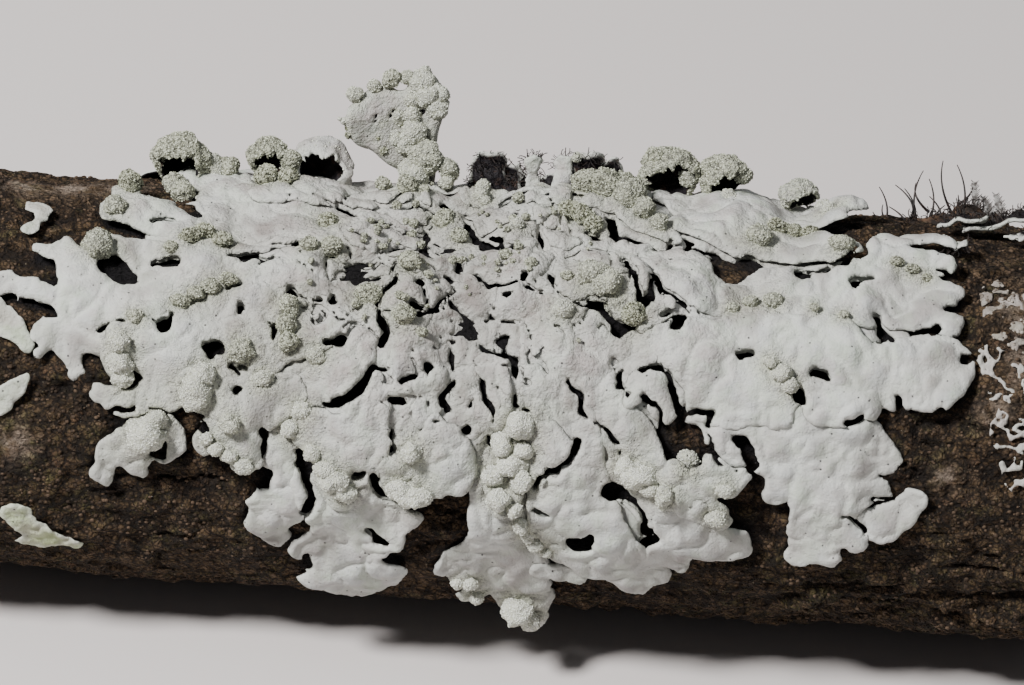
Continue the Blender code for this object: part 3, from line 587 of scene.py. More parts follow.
# the hidden side, drawn in the same way
backLobes = {
    "thallus_back": [(0.5, [
        [(-12, 22, 1.8), (-8, 23.4, 2.2), (-3, 24, 2.6), (3, 23.4, 2.4), (8, 21.4, 1.8)]])],
    "lobe_back_far_left": [(1, [
        [(-15, 23, 1.9), (-18.5, 24.2, 2.4), (-22.5, 27, 2.4), (-26, 28.2, 2.0), (-28.6, 28.4, 1.1)],
        [(-22, 28.6, 2.0), (-25.0, 30.4, 1.6), (-26.6, 32.0, 1.0)],
        [(-17, 22.4, 1.4), (-20.4, 22.6, 1.2)]])],
    "lobe_back_left": [(1.5, [
        [(-12, 24.6, 2.2), (-15.5, 27.8, 3.0), (-19.5, 30.6, 2.8), (-22.4, 32.2, 1.7), (-24, 32.2, 0.9)],
        [(-16.4, 31, 2.2), (-18.6, 35, 1.9), (-19, 37.4, 1.0)], [(-20, 32.4, 1.6), (-21.8, 35, 1.0)]])],
    "lobe_back_left_low": [(1, [
        [(-8.4, 27, 2.2), (-10.4, 31.4, 3.0), (-12.4, 36, 2.8), (-14, 39, 1.6)],
        [(-10.6, 36.4, 2.0), (-9.6, 40.4, 1.4)],
        [(-13, 36.4, 1.6), (-15.4, 37.4, 0.9)]])],
    "lobe_back_centre": [(1.5, [
        [(-3.4, 27, 2.3), (-3.2, 31, 3.1), (-3.8, 35.8, 2.9), (-4.8, 40, 1.7)],
        [(-2.4, 36.6, 2.2), (0.2, 39.6, 1.5)],
        [(-5, 35, 1.6), (-6.8, 37.4, 1.1)]])],
    "lobe_back_right_low": [(1, [
        [(2.6, 26.4, 2.2), (4.4, 30.4, 3.0), (6.4, 34.6, 2.8), (8, 38, 1.6)],
        [(7, 33, 2.0), (10.4, 35.4, 1.5), (11.6, 37.2, 0.8)],
        [(5, 35.4, 1.7), (4.2, 38.4, 1.1)]])],
    "lobe_back_right": [(1.5, [
        [(7.4, 24.2, 2.2), (11.2, 27, 2.9), (15, 30, 2.7), (18.2, 32.2, 1.5)],
        [(13, 30.4, 2.0), (13.8, 34.2, 1.5), (13.2, 36, 0.8)],
        [(15.4, 28.8, 1.7), (19, 28.8, 1.2)]])],
    "lobe_back_far_right": [(1, [
        [(11.4, 22, 1.8), (15.4, 23.6, 2.3), (19.6, 26, 2.3), (23, 27, 1.6), (25.2, 27.2, 0.8)],
        [(19, 27.6, 1.8), (21.8, 29.6, 1.5), (23.2, 31, 0.8)], [(15, 21.6, 1.4), (18.6, 21.4, 1.1)]])],
}

# Cracks and holes through the lobes: chains of (x, s, half width)
gaps = [
    [(-15.6, 10.2, 0.1), (-14.4, 10.2, 0.13), (-13.2, 10.3, 0.13), (-12.6, 10.6, 0.12)],
    [(-17.6, 8.9, 0.3), (-17, 8.8, 0.4), (-16.3, 9.4, 0.25), (-15.4, 9.7, 0.2), (-14, 9.9, 0.2),
     (-12.7, 10.3, 0.2)],
    [(-16.5, 9, 0.15), (-15.8, 8.5, 0.15), (-15.3, 8.8, 0.12)],
    [(-10.8, 8.9, 0.15), (-10.1, 8.05, 0.13), (-8.9, 7.95, 0.16)],
    [(-10.8, 8.9, 0.13), (-9.4, 9.2, 0.1), (-8.1, 9.7, 0.12)],
    [(-11.6, 14.9, 0.35), (-10.6, 14.4, 0.4), (-9.8, 14, 0.3)],
    [(-9.4, 12.8, 0.1), (-8.2, 12.9, 0.15), (-7.6, 12, 0.18), (-6.4, 12.6, 0.15)],
    [(-7.6, 7.8, 0.22), (-8.4, 6.3, 0.18), (-8.7, 5.6, 0.13), (-8.4, 4.6, 0.18), (-8, 3.9, 0.22),
     (-8.3, 2.9, 0.18)],
    [(-7.5, 1.6, 0.1), (-8.7, 1.3, 0.18), (-8.9, 0.4, 0.25), (-10.5, -0.7, 0.3), (-11.6, -0.9, 0.06)],
    [(-5.4, 1.9, 0.15), (-5.8, 1.2, 0.13), (-6.7, 0.7, 0.13)], [(-7.2, -0.4, 0.3), (-6.9, -0.4, 0.2)],
    [(-7.1, -1.2, 0.06), (-7.2, -3.6, 0.12)],
    [(-3.9, 3.5, 0.08), (-4.1, 2.4, 0.12), (-4, 1.2, 0.1), (-3.9, 0.6, 0.16), (-4.4, -0.3, 0.2),
     (-4, -0.8, 0.12), (-4.5, -1.4, 0.12), (-4.9, -1.6, 0.1)],
    [(-2.4, 4, 0.1), (-1.9, 3.1, 0.15), (-0.7, 3, 0.15), (-0.8, 4, 0.2)],
    [(-0.7, 3, 0.12), (0.1, 2.4, 0.2), (0.1, 1.4, 0.14), (0.2, -0.1, 0.12), (1, -0.4, 0.2)],
    [(-1.9, 1.1, 0.12), (-1.6, 0, 0.12), (-1.1, -0.4, 0.18), (-1.5, -1.5, 0.1)],
    [(-1.4, -2.6, 0.28), (-1.5, -2.2, 0.15)], [(-2.7, -0.5, 0.12), (-2.7, -0.2, 0.08)],
    [(-2.8, -1.8, 0.22), (-2.6, -1.6, 0.12)], [(-5.2, -0.6, 0.1), (-5.1, -0.4, 0.06)],
    [(3.5, 1.3, 0.1), (4.1, 0.7, 0.13), (4.2, -0.2, 0.08), (4.8, -0.8, 0.06), (5.3, -0.9, 0.08),
     (6.1, -1.6, 0.1), (7, -2.3, 0.1), (7, -2.9, 0.05)],
    [(6.4, 1.7, 0.25), (7.2, 0.9, 0.13)], [(8.1, 0.7, 0.1), (9, -0.6, 0.16), (9.6, -1.4, 0.2)],
    [(8.1, 2.1, 0.15), (8.9, 2.5, 0.28), (9.6, 2.1, 0.2), (9.7, 1.3, 0.16), (10.1, 0.2, 0.2)],
    [(4, -2.3, 0.22), (3.6, -3.2, 0.25), (2.7, -4, 0.2), (2, -4.6, 0.2), (1.9, -5.4, 0.18)],
    [(2.5, -7.1, 0.3), (2, -6.6, 0.12)], [(6.6, -5.3, 0.62), (6.9, -5.3, 0.55)],
    [(7.4, -5.7, 0.25), (8.2, -6.3, 0.25), (8.8, -7.2, 0.25), (8.8, -8.3, 0.3), (9.2, -8.5, 0.35)],
    [(4.6, -9.5, 0.62), (5.1, -9.3, 0.6)], [(1.7, -10.1, 0.2), (2.1, -10.7, 0.15)],
    [(-8.1, -5.2, 0.22), (-7.6, -6.4, 0.3), (-6.6, -7, 0.2), (-5.6, -7.2, 0.16)],
    [(-9.3, -5.1, 0.2), (-8.8, -5, 0.15)],
    [(-13.1, -3.9, 0.25), (-12.4, -5.1, 0.4), (-12.5, -6, 0.3), (-11.9, -7, 0.35), (-12.5, -8.3, 0.25)],
    [(-8.6, -9.6, 0.25), (-8, -10.1, 0.22), (-7, -10.3, 0.15)],
    [(-6.7, 15.3, 0.3), (-6, 14.8, 0.3), (-5, 14.5, 0.3)],
    [(-5, 15.8, 0.3), (-4, 15.6, 0.25), (-3, 15.4, 0.3)], [(-1.4, 15.9, 0.2), (0.1, 16.9, 0.2)],
    [(-1.4, 14.1, 0.12), (-0.4, 14.6, 0.12)], [(-6, 12.8, 0.2), (-5.9, 10.6, 0.18), (-5.6, 10.2, 0.15)],
    [(-5.5, 11.9, 0.12), (-4.4, 11.3, 0.12), (-5.1, 10.6, 0.1)],
    [(-3.5, 13.7, 0.2), (-2.9, 12.7, 0.25), (-2.7, 11.6, 0.2), (-1.9, 11.2, 0.15), (-1, 10.6, 0.2),
     (-0.3, 10.9, 0.2)],
    [(-4.1, 10, 0.12), (-3.9, 9, 0.14)],
    [(-2.8, 8.4, 0.12), (-1.9, 7.5, 0.16), (-0.1, 7.9, 0.14), (0.1, 8.3, 0.2)],
    [(0.3, 7.3, 0.13), (1, 7, 0.12), (1.9, 7.1, 0.12), (1.9, 8.1, 0.25)],
    [(1.9, 8.1, 0.2), (2.4, 6.9, 0.13)], [(-5.7, 9.2, 0.18), (-5.3, 8.7, 0.16)],
    [(-5.1, 8.4, 0.05), (-4.1, 8, 0.05), (-3.9, 7.2, 0.08), (-4.9, 6.2, 0.14), (-5.2, 5.5, 0.18),
     (-6.3, 4.9, 0.1)],
    [(-4.1, 6.3, 0.12), (-3.5, 5.5, 0.15), (-3.1, 4.8, 0.15), (-2.6, 4.2, 0.13)],
    [(-0.8, 6.7, 0.22), (-0.5, 6.7, 0.15)], [(4, 8.5, 0.2), (4, 8.6, 0.2)],
    [(-6.5, 5.5, 0.25), (-6, 5.7, 0.12)], [(-6.1, 7.3, 0.22), (-6.1, 7.1, 0.2)],
    [(6.2, 10, 0.22), (6.8, 8.9, 0.22), (7, 7.7, 0.2), (7.7, 6.5, 0.3), (8.3, 7, 0.25), (8.1, 8, 0.2)],
    [(3.7, 6.3, 0.1), (5.1, 6.2, 0.25), (5.7, 5.5, 0.28), (6.2, 4.8, 0.3), (6.9, 4.9, 0.16)],
    [(4, 12.8, 0.18), (4.8, 12.6, 0.2)],
    [(5.4, 14.5, 0.22), (5.8, 12.6, 0.4), (6.7, 13, 0.25), (7.5, 12.2, 0.2), (8.4, 11.5, 0.2),
     (9, 11.7, 0.16)],
    [(8.2, 8.9, 0.32), (9, 7.5, 0.22), (9.7, 7.1, 0.16), (10.2, 6.1, 0.2), (9.9, 4.8, 0.35)],
    [(10.2, 5.7, 0.15), (8.9, 5.4, 0.16)], [(10.2, 5.8, 0.08), (11.5, 6.2, 0.05)],
    [(9.5, 13.5, 0.16), (10.2, 12.6, 0.16), (10.1, 12, 0.12)], [(9.2, 12.5, 0.18), (9, 11.7, 0.15)],
    [(10.6, 12.2, 0.2), (11.2, 12, 0.16), (12, 12.1, 0.3)],
    [(12.2, 11, 0.75), (13, 10.1, 1.05), (14, 10.9, 0.85)], [(17.3, 10.2, 0.5), (17.5, 10, 0.55)],
    [(18, 10.4, 0.2), (19, 10.3, 0.25), (19.9, 10.6, 0.2), (20.8, 11.6, 0.2)],
    [(20.9, 9.3, 0.3), (21.9, 9.7, 0.15)], [(24.3, 14.9, 0.12), (26, 14.9, 0.2)],
    [(24.3, 12.8, 0.28), (26.7, 12.4, 0.32)], [(25.7, 10.6, 0.14), (26.7, 10.2, 0.25)],
    [(26.6, 7.9, 0.25), (27.6, 7.6, 0.3)], [(25.6, 6, 0.25), (25.8, 5.9, 0.12)],
    [(27.5, 4.2, 0.28), (28.4, 4.2, 0.2)], [(22.3, 6.6, 0.25), (22.6, 6, 0.2), (23.3, 5.1, 0.28)],
    [(21, 5, 0.1), (22.1, 4.8, 0.1), (23.3, 5, 0.1)], [(13.8, 3.5, 0.3), (14.3, 3.8, 0.25)],
    [(17.3, 1.2, 0.3), (17.7, 1.3, 0.35)], [(18.4, 2.7, 0.2), (19.1, 2.7, 0.24)],
    [(20.7, -0.2, 0.18), (21.7, 0.1, 0.2)], [(23.7, 1.2, 0.3), (24.2, 0.5, 0.35), (24.8, 0.2, 0.4)],
    [(26.3, 0.7, 0.42), (26.3, 0.2, 0.5)], [(28, 1.2, 0.3), (28.3, 0.6, 0.5)],
    [(14.2, -1.5, 0.5), (14.6, -1.8, 0.4), (14.9, -3, 0.25)], [(22.9, -3, 0.16), (23.8, -3.3, 0.2)],
    [(22.7, -4.7, 0.08), (23.7, -4.8, 0.14)],
    [(20.9, -6, 0.12), (21.6, -6.2, 0.2), (22.2, -6.6, 0.1), (22.5, -7.4, 0.1)],
    [(10.4, -1, 0.6), (10.9, -1.6, 1), (11.4, -2.3, 0.6)],
    [(11, 0.1, 0.15), (12.3, 0.1, 0.16), (12.2, -0.6, 0.14)],
    [(12.2, -1.2, 0.05), (12.9, -2.4, 0.04), (14.2, -3.1, 0.08)], [(-25.2, 7.4, 0.85), (-24.8, 7, 0.9)],
    [(-30.8, 7, 0.75), (-29.4, 6.7, 0.85)], [(-32.5, 4.5, 0.4), (-31.1, 4.4, 0.35)],
    [(-30.6, 4.1, 0.5), (-28.5, 3.7, 0.3)], [(-29.8, 1.8, 0.25), (-29.4, 1.8, 0.25)],
    [(-21.2, 14.2, 0.5), (-20.5, 12.7, 0.5)], [(-22.9, 11.3, 0.2), (-21.9, 11.5, 0.25)],
    [(-22.3, 8.1, 0.38), (-21.2, 8.1, 0.4)], [(-23, 14.6, 0.6), (-22, 14.9, 0.5)],
    [(-25.5, 2.6, 0.08), (-24.9, 3.1, 0.12), (-24, 3.2, 0.04)],
    [(-22.6, 3.7, 0.04), (-21.5, 3.4, 0.35), (-21.3, 3.9, 0.2)], [(-17.8, 6.2, 0.1), (-17, 6.3, 0.18)],
    [(-23.7, -0.6, 0.3), (-23, -0.1, 0.4)], [(-24.6, -2.2, 0.15), (-23.4, -1.9, 0.1)],
    [(-22.3, -1.9, 0.13), (-21.6, -2, 0.1), (-20.6, -2.5, 0.08)],
    [(-21.6, -4.5, 0.45), (-21.4, -4.1, 0.35)], [(-23.6, -6.6, 0.5), (-23.8, -7.2, 0.5)],
    [(-18.9, 1.9, 0.45), (-18.4, 2.1, 0.4)], [(-17.4, 1, 0.2), (-16.8, 0.5, 0.15)],
    [(-16.9, -0.45, 0.35), (-16.4, -0.4, 0.15)], [(-19.9, -2.4, 0.25), (-18.8, -2.5, 0.35)],
    [(-15.1, 3.9, 0.15), (-15, 3, 0.2)], [(-16.9, 4.6, 0.25), (-17.2, 4.2, 0.1)],
    [(-13.9, 6, 0.25), (-14.1, 5.6, 0.2)], [(-11.6, 6.3, 0.25), (-11.5, 6, 0.2)],
    [(-12.6, 5.9, 0.08), (-12.2, 6.1, 0.12)], [(-11.4, 2.6, 0.2), (-10.7, 3, 0.28)],
    [(-14.9, -5.8, 0.6), (-15.4, -5.6, 0.6)],
    [(-15.2, -2.7, 0.3), (-15.1, -3.1, 0.15), (-15.2, -4.4, 0.06)],
    [(-12, -13.4, 0.3), (-12.2, -13.8, 0.4)],
]

# places where a lobe rises from the bark or stays down: x, s, reach, height
lifts = [
    (1.9, -19.0, 3.2, 1.4), (0.0, -4.0, 2.4, -0.55), (1.7, -9.4, 1.8, -0.32), (-5.8, -5.6, 1.8, -0.1),
    (-9.6, -4.6, 1.6, -0.2), (-10.0, -16.0, 2.4, 0.35), (-24.0, -1.2, 1.2, 0.3), (-22.6, -3.4, 1.6, 0.5),
    (5.5, 7.4, 2.0, 0.7), (3.6, 16.6, 2.6, 0.9), (-17.0, -1.6, 1.8, 0.5), (-9.6, -3.4, 1.8, 0.15),
    (24.6, 3.2, 2.2, 0.35), (19.8, 11.6, 1.2, 0.4), (-6.4, -6.2, 1.4, 0.15), (-12.4, 9.6, 1.6, 0.3),
    (13.6, 13.2, 2.2, 0.4), (8.2, 1.4, 1.0, 0.4), (9.4, 0.0, 1.0, 0.4), (21.0, 1.0, 1.4, 0.5),
    (-3.4, 17.8, 1.5, 1.1), (7.6, 7.6, 1.0, 0.4), (-30.6, 5.6, 1.4, -0.1), (24.6, 14.0, 2.2, 0.4),
    (-4.0, 13.6, 1.6, 0.4),
]

sheetSpec = {
    "step": 0.165, "backStep": 0.23, "mapStep": 0.2, "lift": 0.44, "layer": 0.20, "thickness": 0.30,
    "dome": 0.62, "domeReach": 0.95, "broad": 0.50, "broadSize": 3.4, "mid": 0.15, "midSize": 1.7,
    "fine": 0.075, "fineSize": 0.8, "folds": 0.11, "foldSize": 2.1, "ragged": 0.12, "raggedSize": 0.7,
    "drift": 0.22, "driftSize": 1.5, "edgeRoom": 0.8,
}
# how cracks wander and crumble, and how much wider the wide holes are in the old sheet underneath
crackSpec = {
    "wander": 0.34, "wanderSize": 1.3, "crumble": 0.15, "crumbleSize": 0.62, "wideHole": 0.45, "wider": 0.35,
    "least": 0.10, "more": 0.16, "moreSize": 1.5, "topLess": 0.04, "baseLess": 0.14,
}
colony = {"middle": (-4, 9.5), "squash": 0.8, "reach": 15.0, "low": (-36, -23), "high": (36.01, 44.01)}
colonyX, colonyS = np.meshgrid(
    *(np.arange(colony["low"][axis], colony["high"][axis], sheetSpec["mapStep"]) for axis in range(2)))
coverMap = np.full(colonyX.shape, 9.0)     # below 0 under a lobe
topMap = np.full(colonyX.shape, 0.0)       # height of the highest lobe above the bark


def sampleMap(values, x, s):
    step = sheetSpec["mapStep"]
    i = np.clip((np.asarray(x) - colony["low"][0]) / step, 0, values.shape[1] - 1.001)
    j = np.clip((np.asarray(s) - colony["low"][1]) / step, 0, values.shape[0] - 1.001)
    i0, j0 = np.floor(i).astype(int), np.floor(j).astype(int)
    fi, fj = i - i0, j - j0
    low = values[j0, i0] * (1 - fi) + values[j0, i0 + 1] * fi
    high = values[j0 + 1, i0] * (1 - fi) + values[j0 + 1, i0 + 1] * fi
    return low * (1 - fj) + high * fj


def filtered(values, reach, pick):
    # the least or the greatest value within reach of every point of the colony map
    cells = round(reach / sheetSpec["mapStep"])
    result = values.copy()
    for j in range(-cells, cells + 1):
        for i in range(-cells, cells + 1):
            if i * i + j * j <= cells * cells:
                result = pick(result, np.roll(values, (j, i), (0, 1)))
    return result


def closed(values, reach):
    return filtered(filtered(values, reach, np.minimum), reach, np.maximum)


def near(x, s, places):
    # 1 at the listed places (x, s, reach), falling smoothly to 0 round them
    total = np.zeros(np.shape(x))
    for px, ps, reach in places:
        total = np.maximum(total, np.exp(-((x - px) ** 2 + (s - ps) ** 2) / reach ** 2))
    return total


def colonyAge(x, s):
    # 1 in the old middle of the colony, falling to 0 at its margin
    middleX, middleS = colony["middle"]
    return np.clip(1.15 - np.hypot((x - middleX) * colony["squash"], s - middleS) / colony["reach"], 0, 1)


def skinHeight(level):
    def height(x, s, edge):
        px, py, pz = onBark(x, s, 0).T
        spec = sheetSpec
        age = colonyAge(x, s)
        rise = spec["lift"] + spec["layer"] * (level - 1) * (1 - 0.55 * age)
        rise = rise + spec["dome"] * (1 - np.exp(-edge / spec["domeReach"]))
        rise = rise + spec["broad"] * ripple(px, py, pz, spec["broadSize"])
        rise = rise + spec["mid"] * ripple(px + 3, py, pz + 9, spec["midSize"], 2)
        folds = 1 - np.abs(ripple(px + 9, py, pz, spec["foldSize"], 2)) / 0.35
        rise = rise + spec["folds"] * (0.15 + 1.4 * age) * np.maximum(folds, 0) ** 2
        rise = rise + spec["fine"] * (0.15 + 2.1 * age) * ripple(px + 9, py, pz + 6, spec["fineSize"], 2)
        for lx, ls, reach, lift in lifts:
            rise = rise + lift * np.exp(-((x - lx) ** 2 + (s - ls) ** 2) / reach ** 2)
        return rise
    return height


def paintedHollowShade(x, s, edge):
    # 1 in the hollows of the skin, where painted shade darkens it
    px, py, pz = onBark(x, s, 0).T
    broad = ripple(px, py, pz, sheetSpec["broadSize"])
    mid = ripple(px + 3, py, pz + 9, sheetSpec["midSize"], 2)
    return np.clip(0.30 + 1.1 * (-broad - 0.8 * mid), 0, 1)


def reachOf(chain):
    # the lowest and highest corners that a chain of discs reaches
    discs = np.array(chain)
    return (discs[:, :2] - discs[:, 2:]).min(0), (discs[:, :2] + discs[:, 2:]).max(0)


def leafShell(level, arms, step):
    # one sheet of a lobe; it also enters its cover and its height on the colony's maps
    low, high = reachOf([point for arm in arms for point in arm])
    low, high = low - sheetSpec["edgeRoom"], high + sheetSpec["edgeRoom"]
    xs, ss = np.meshgrid(np.arange(low[0], high[0], step), np.arange(low[1], high[1], step))
    ragged = sheetSpec["ragged"] * ripple(xs, ss, 0 * xs + level, sheetSpec["raggedSize"], 2)
    drift = sheetSpec["drift"] * ripple(xs, ss, 0 * xs + 11 + level, sheetSpec["driftSize"], 2)
    field = lobeField(xs + drift, ss - drift, arms) + ragged
    leaf = cutSheet(xs, ss, field, level, crackSpec["topLess"], 0.0)
    window = (colonyX > low[0]) & (colonyX < xs.max()) & (colonyS > low[1]) & (colonyS < ss.max())
    wx, ws = colonyX[window], colonyS[window]
    whole = lobeField(wx, ws, arms)
    coverMap[window] = np.minimum(coverMap[window], whole)
    tops = skinHeight(level)(wx, ws, np.maximum(-whole, 0)) + sheetSpec["thickness"] / 2
    topMap[window] = np.maximum(topMap[window], np.where(whole < 0, tops, 0))
    return leaf


def cutSheet(xs, ss, field, level, crackLess, wider):
    # a sheet of the thallus with the cracks and holes cut through it
    spec = crackSpec
    low, high = np.array([xs.min(), ss.min()]), np.array([xs.max(), ss.max()])
    wx = xs + spec["wander"] * ripple(xs, ss, 0 * xs + 2, spec["wanderSize"], 2)
    ws = ss + spec["wander"] * ripple(xs, ss, 0 * xs + 7, spec["wanderSize"], 2)
    crumble = spec["crumble"] * ripple(xs, ss, 0 * xs + 4, spec["crumbleSize"], 2)
    for gap in gaps:
        gapLow, gapHigh = reachOf(gap)
        if (gapHigh > low).all() and (gapLow < high).all():
            widest = max(width for x, s, width in gap)
            more = wider if widest > spec["wideHole"] else 0.0
            field = np.maximum(field, -(armField(wx, ws, gap) + crumble - more))
    px, py, pz = onBark(xs, ss, 0).transpose(2, 0, 1)
    old = np.clip(colonyAge(xs, ss) * 1.6 - 0.45, 0, 1)
    for shift, size in ((0.0, 2.4), (31.0, 1.7)):
        away = np.abs(ripple(px + shift, py, pz, size, 2)) * size / 1.7
        width = spec["least"] + spec["more"] * ripple(px, py + shift, pz, spec["moreSize"])
        field = np.maximum(field, old * width - crackLess - away)
    return sheetShell(
        xs, ss, field, skinHeight(level), sheetSpec["thickness"], onBark, dip=paintedHollowShade, speck=0.75,
        age=lambda x, s, edge: colonyAge(x, s), powder=lambda x, s, edge: near(x, s, powderSpots) ** 0.5)


# Powdery balls on the lobes: x, s, half width along the twig and round it, and how far the
# powder is dotted with black and olive
powderBalls = [
    (-26.2, 8.6, 1.0, 1.0, 0.8), (-24.7, 15.0, 0.8, 1.2, 1.0), (-25.4, 12.3, 0.8, 0.7, 0.8),
    (-21.4, 16.3, 0.75, 0.8, 0.9), (-20.6, 9.8, 0.8, 0.5, 1.0), (-19.7, 10.4, 0.8, 0.5, 1.0),
    (-18.6, 10.0, 0.8, 0.5, 1.0), (-21.7, 8.9, 0.5, 0.4, 0.9), (-20.8, 4.9, 0.7, 0.45, 0.9),
    (-19.9, 5.5, 0.7, 0.5, 0.9), (-19.0, 6.0, 0.7, 0.5, 0.9), (-18.0, 6.6, 0.7, 0.4, 0.9),
    (-16.3, 17.2, 0.75, 0.8, 1.0), (-14.9, 17.0, 0.7, 0.75, 1.0), (-14.1, 5.0, 0.7, 0.8, 0.9),
    (-14.2, 3.8, 0.7, 0.8, 0.9), (-14.0, 2.7, 0.7, 0.7, 0.9), (-16.9, 2.0, 0.9, 0.9, 0.8),
    (-12.2, 2.0, 0.75, 0.6, 0.6), (-15.4, 0.5, 0.75, 0.55, 0.5), (-23.5, 3.6, 0.6, 0.5, 0.8),
    (-24.3, 2.0, 0.8, 0.8, 0.4), (-24.2, 0.8, 0.9, 0.9, 0.3), (-24.0, -0.1, 0.8, 0.7, 0.3),
    (-19.4, -0.6, 1.1, 1.3, 0.3), (-19.1, 0.4, 0.9, 0.9, 0.3), (-22.4, -3.3, 1.3, 1.2, 0.2),
    (-17.2, -2.2, 0.7, 0.65, 0.6), (-18.0, -3.8, 0.6, 0.5, 0.3), (-17.2, -4.2, 0.6, 0.5, 0.3),
    (-16.2, -4.8, 0.7, 0.5, 0.3), (-18.6, -3.2, 0.5, 0.5, 0.3), (-12.9, -1.3, 0.7, 0.6, 0.3),
    (-13.5, -2.5, 0.7, 0.7, 0.3), (-12.1, -3.8, 0.6, 0.6, 0.3), (-10.6, -5.3, 1.0, 0.8, 0.3),
    (-9.9, -6.0, 0.9, 0.6, 0.3), (-11.2, -4.7, 0.8, 0.6, 0.3), (-5.0, 14.0, 0.8, 0.8, 0.9),
    (-3.9, 12.3, 0.6, 0.5, 0.9), (-0.4, 12.3, 0.5, 0.45, 0.5), (2.8, 14.5, 0.8, 0.6, 1.0),
    (3.6, 14.1, 0.8, 0.6, 1.0), (4.3, 13.5, 0.7, 0.6, 1.0), (4.5, 8.0, 1.2, 0.9, 0.7),
    (5.4, 7.4, 1.0, 0.9, 0.7), (6.0, 6.5, 0.8, 0.7, 0.6), (7.1, 5.5, 0.8, 0.8, 1.0),
    (2.8, 5.6, 0.7, 0.6, 0.4), (-9.3, 6.2, 0.9, 0.8, 0.9), (-6.9, 8.4, 0.8, 0.6, 0.9),
    (-7.0, 4.6, 0.8, 0.7, 0.9), (-12.2, 12.8, 0.7, 0.7, 1.0), (-11.8, 9.8, 0.8, 0.6, 0.9),
    (-13.2, 9.6, 0.6, 0.5, 0.9), (19.7, 11.6, 0.9, 0.5, 0.8), (14.6, 13.0, 0.9, 0.7, 0.8),
    (15.8, 14.8, 0.7, 0.4, 1.0), (16.8, 14.9, 0.7, 0.4, 1.0), (17.8, 14.8, 0.6, 0.4, 1.0),
    (23.2, 10.8, 0.5, 0.25, 0.9), (24.2, 10.5, 0.5, 0.25, 0.9), (25.1, 10.1, 0.4, 0.25, 0.9),
    (13.2, 6.7, 0.5, 0.35, 0.8), (14.3, 7.3, 0.6, 0.4, 0.8), (15.7, 7.2, 0.7, 0.5, 0.8),
    (18.2, 6.8, 0.4, 0.3, 0.8), (20.0, 6.3, 0.5, 0.4, 0.8), (15.7, 3.0, 0.6, 0.5, 0.5),
    (16.4, 2.4, 0.7, 0.6, 0.4), (17.0, 1.8, 0.6, 0.6, 0.4), (11.0, -3.0, 0.8, 0.7, 0.4),
    (13.4, -4.2, 0.7, 0.5, 0.3), (13.0, -6.2, 0.7, 0.6, 0.4), (9.7, -4.8, 0.6, 0.9, 0.4),
    (-5.7, -6.0, 1.4, 0.75, 0.1), (-6.6, -5.6, 0.9, 0.7, 0.1), (-6.0, -3.3, 0.75, 0.75, 0.3),
    (0.6, -1.4, 1.0, 1.0, 0.1), (-0.4, -2.7, 0.8, 0.9, 0.1), (1.0, -2.9, 0.8, 0.65, 0.1),
    (0.2, -3.9, 1.1, 0.9, 0.1), (-0.9, -4.6, 0.7, 0.8, 0.1), (0.9, -4.9, 0.8, 0.9, 0.15),
    (-0.4, -5.9, 0.9, 0.7, 0.15), (0.6, -6.5, 0.6, 0.55, 0.15), (1.1, -8.0, 0.6, 0.6, 0.2),
    (1.5, -9.0, 0.6, 0.6, 0.2), (2.1, -9.9, 0.6, 0.5, 0.2), (2.7, -10.6, 0.5, 0.4, 0.2),
    (8.1, -4.0, 1.2, 0.9, 0.1), (7.3, -3.5, 0.8, 0.7, 0.1), (8.8, -4.6, 0.7, 0.6, 0.2),
    (1.3, -17.2, 1.1, 0.9, 0.1), (2.0, -18.0, 0.8, 0.7, 0.1), (-1.8, -14.8, 0.5, 0.5, 0.1),
    (-2.6, -14.9, 0.5, 0.45, 0.1), (-1.4, -16.4, 0.5, 0.5, 0.1), (6.4, 16.3, 1.2, 1.0, 0.8),
    (5.0, 16.8, 1.2, 1.0, 0.9), (3.8, 17.0, 1.1, 0.9, 0.9), (5.9, 17.8, 1.3, 1.1, 0.9),
    (7.4, 15.2, 0.8, 0.7, 0.8), (8.4, 13.8, 0.6, 0.7, 0.8), (-7.4, 17.0, 0.8, 0.7, 0.9),
    (-21.8, -2.4, 0.8, 0.7, 0.3), (-23.0, -3.0, 0.7, 0.7, 0.3), (19.0, 18.0, 0.6, 0.6, 0.4),
    (-2.7, 17.6, 0.55, 0.5, 0.6), (-2.8, 16.8, 0.5, 0.5, 0.6), (-2.5, 16.2, 0.4, 0.4, 0.6),
    (0.8, 18.2, 0.5, 0.5, 0.5),
]
powderSpots = [(x, s, 0.5 * (rx + rs) + 0.15) for x, s, rx, rs, speck in powderBalls]
ballSpec = {
    "roundness": 0.92, "raise": 0.10, "lumps": 0.24, "lumpSize": 0.5, "grit": 0.04, "gritSize": 0.16,
    "shrink": 0.9, "lowest": 0.5, "sunk": 0.1, "fineFrom": 0.5,
}


def icosphere(subdivisions):
    ball = bmesh.new()
    bmesh.ops.create_icosphere(ball, subdivisions=subdivisions, radius=1.0)
    ball.verts.ensure_lookup_table()
    points = np.array([vert.co for vert in ball.verts])
    faces = [[vert.index for vert in face.verts] for face in ball.faces]
    ball.free()
    return points, faces


fineBall, smallBall = icosphere(3), icosphere(2)


def powderBall(centre, axes, speck, seed, fine=True):
    # a lumpy ball: axes are its three half widths as vectors
    ball, faces = fineBall if fine else smallBall
    centre, axes = np.asarray(centre, float), np.asarray(axes, float)
    x, y, z = (centre + ball @ axes + seed * 3.7).T
    grow = 1 + ballSpec["lumps"] * ripple(x, y, z, ballSpec["lumpSize"], 2)
    grow = grow + ballSpec["grit"] * ripple(x, y, z, ballSpec["gritSize"])
    values = {"age": 0.2, "powder": 1.0, "speck": speck, "under": 0.0, "edge": 0.0}
    values["grain"] = 0.35 + 0.65 * speck
    return shell(centre + (ball * grow[:, None]) @ axes, values, faces)


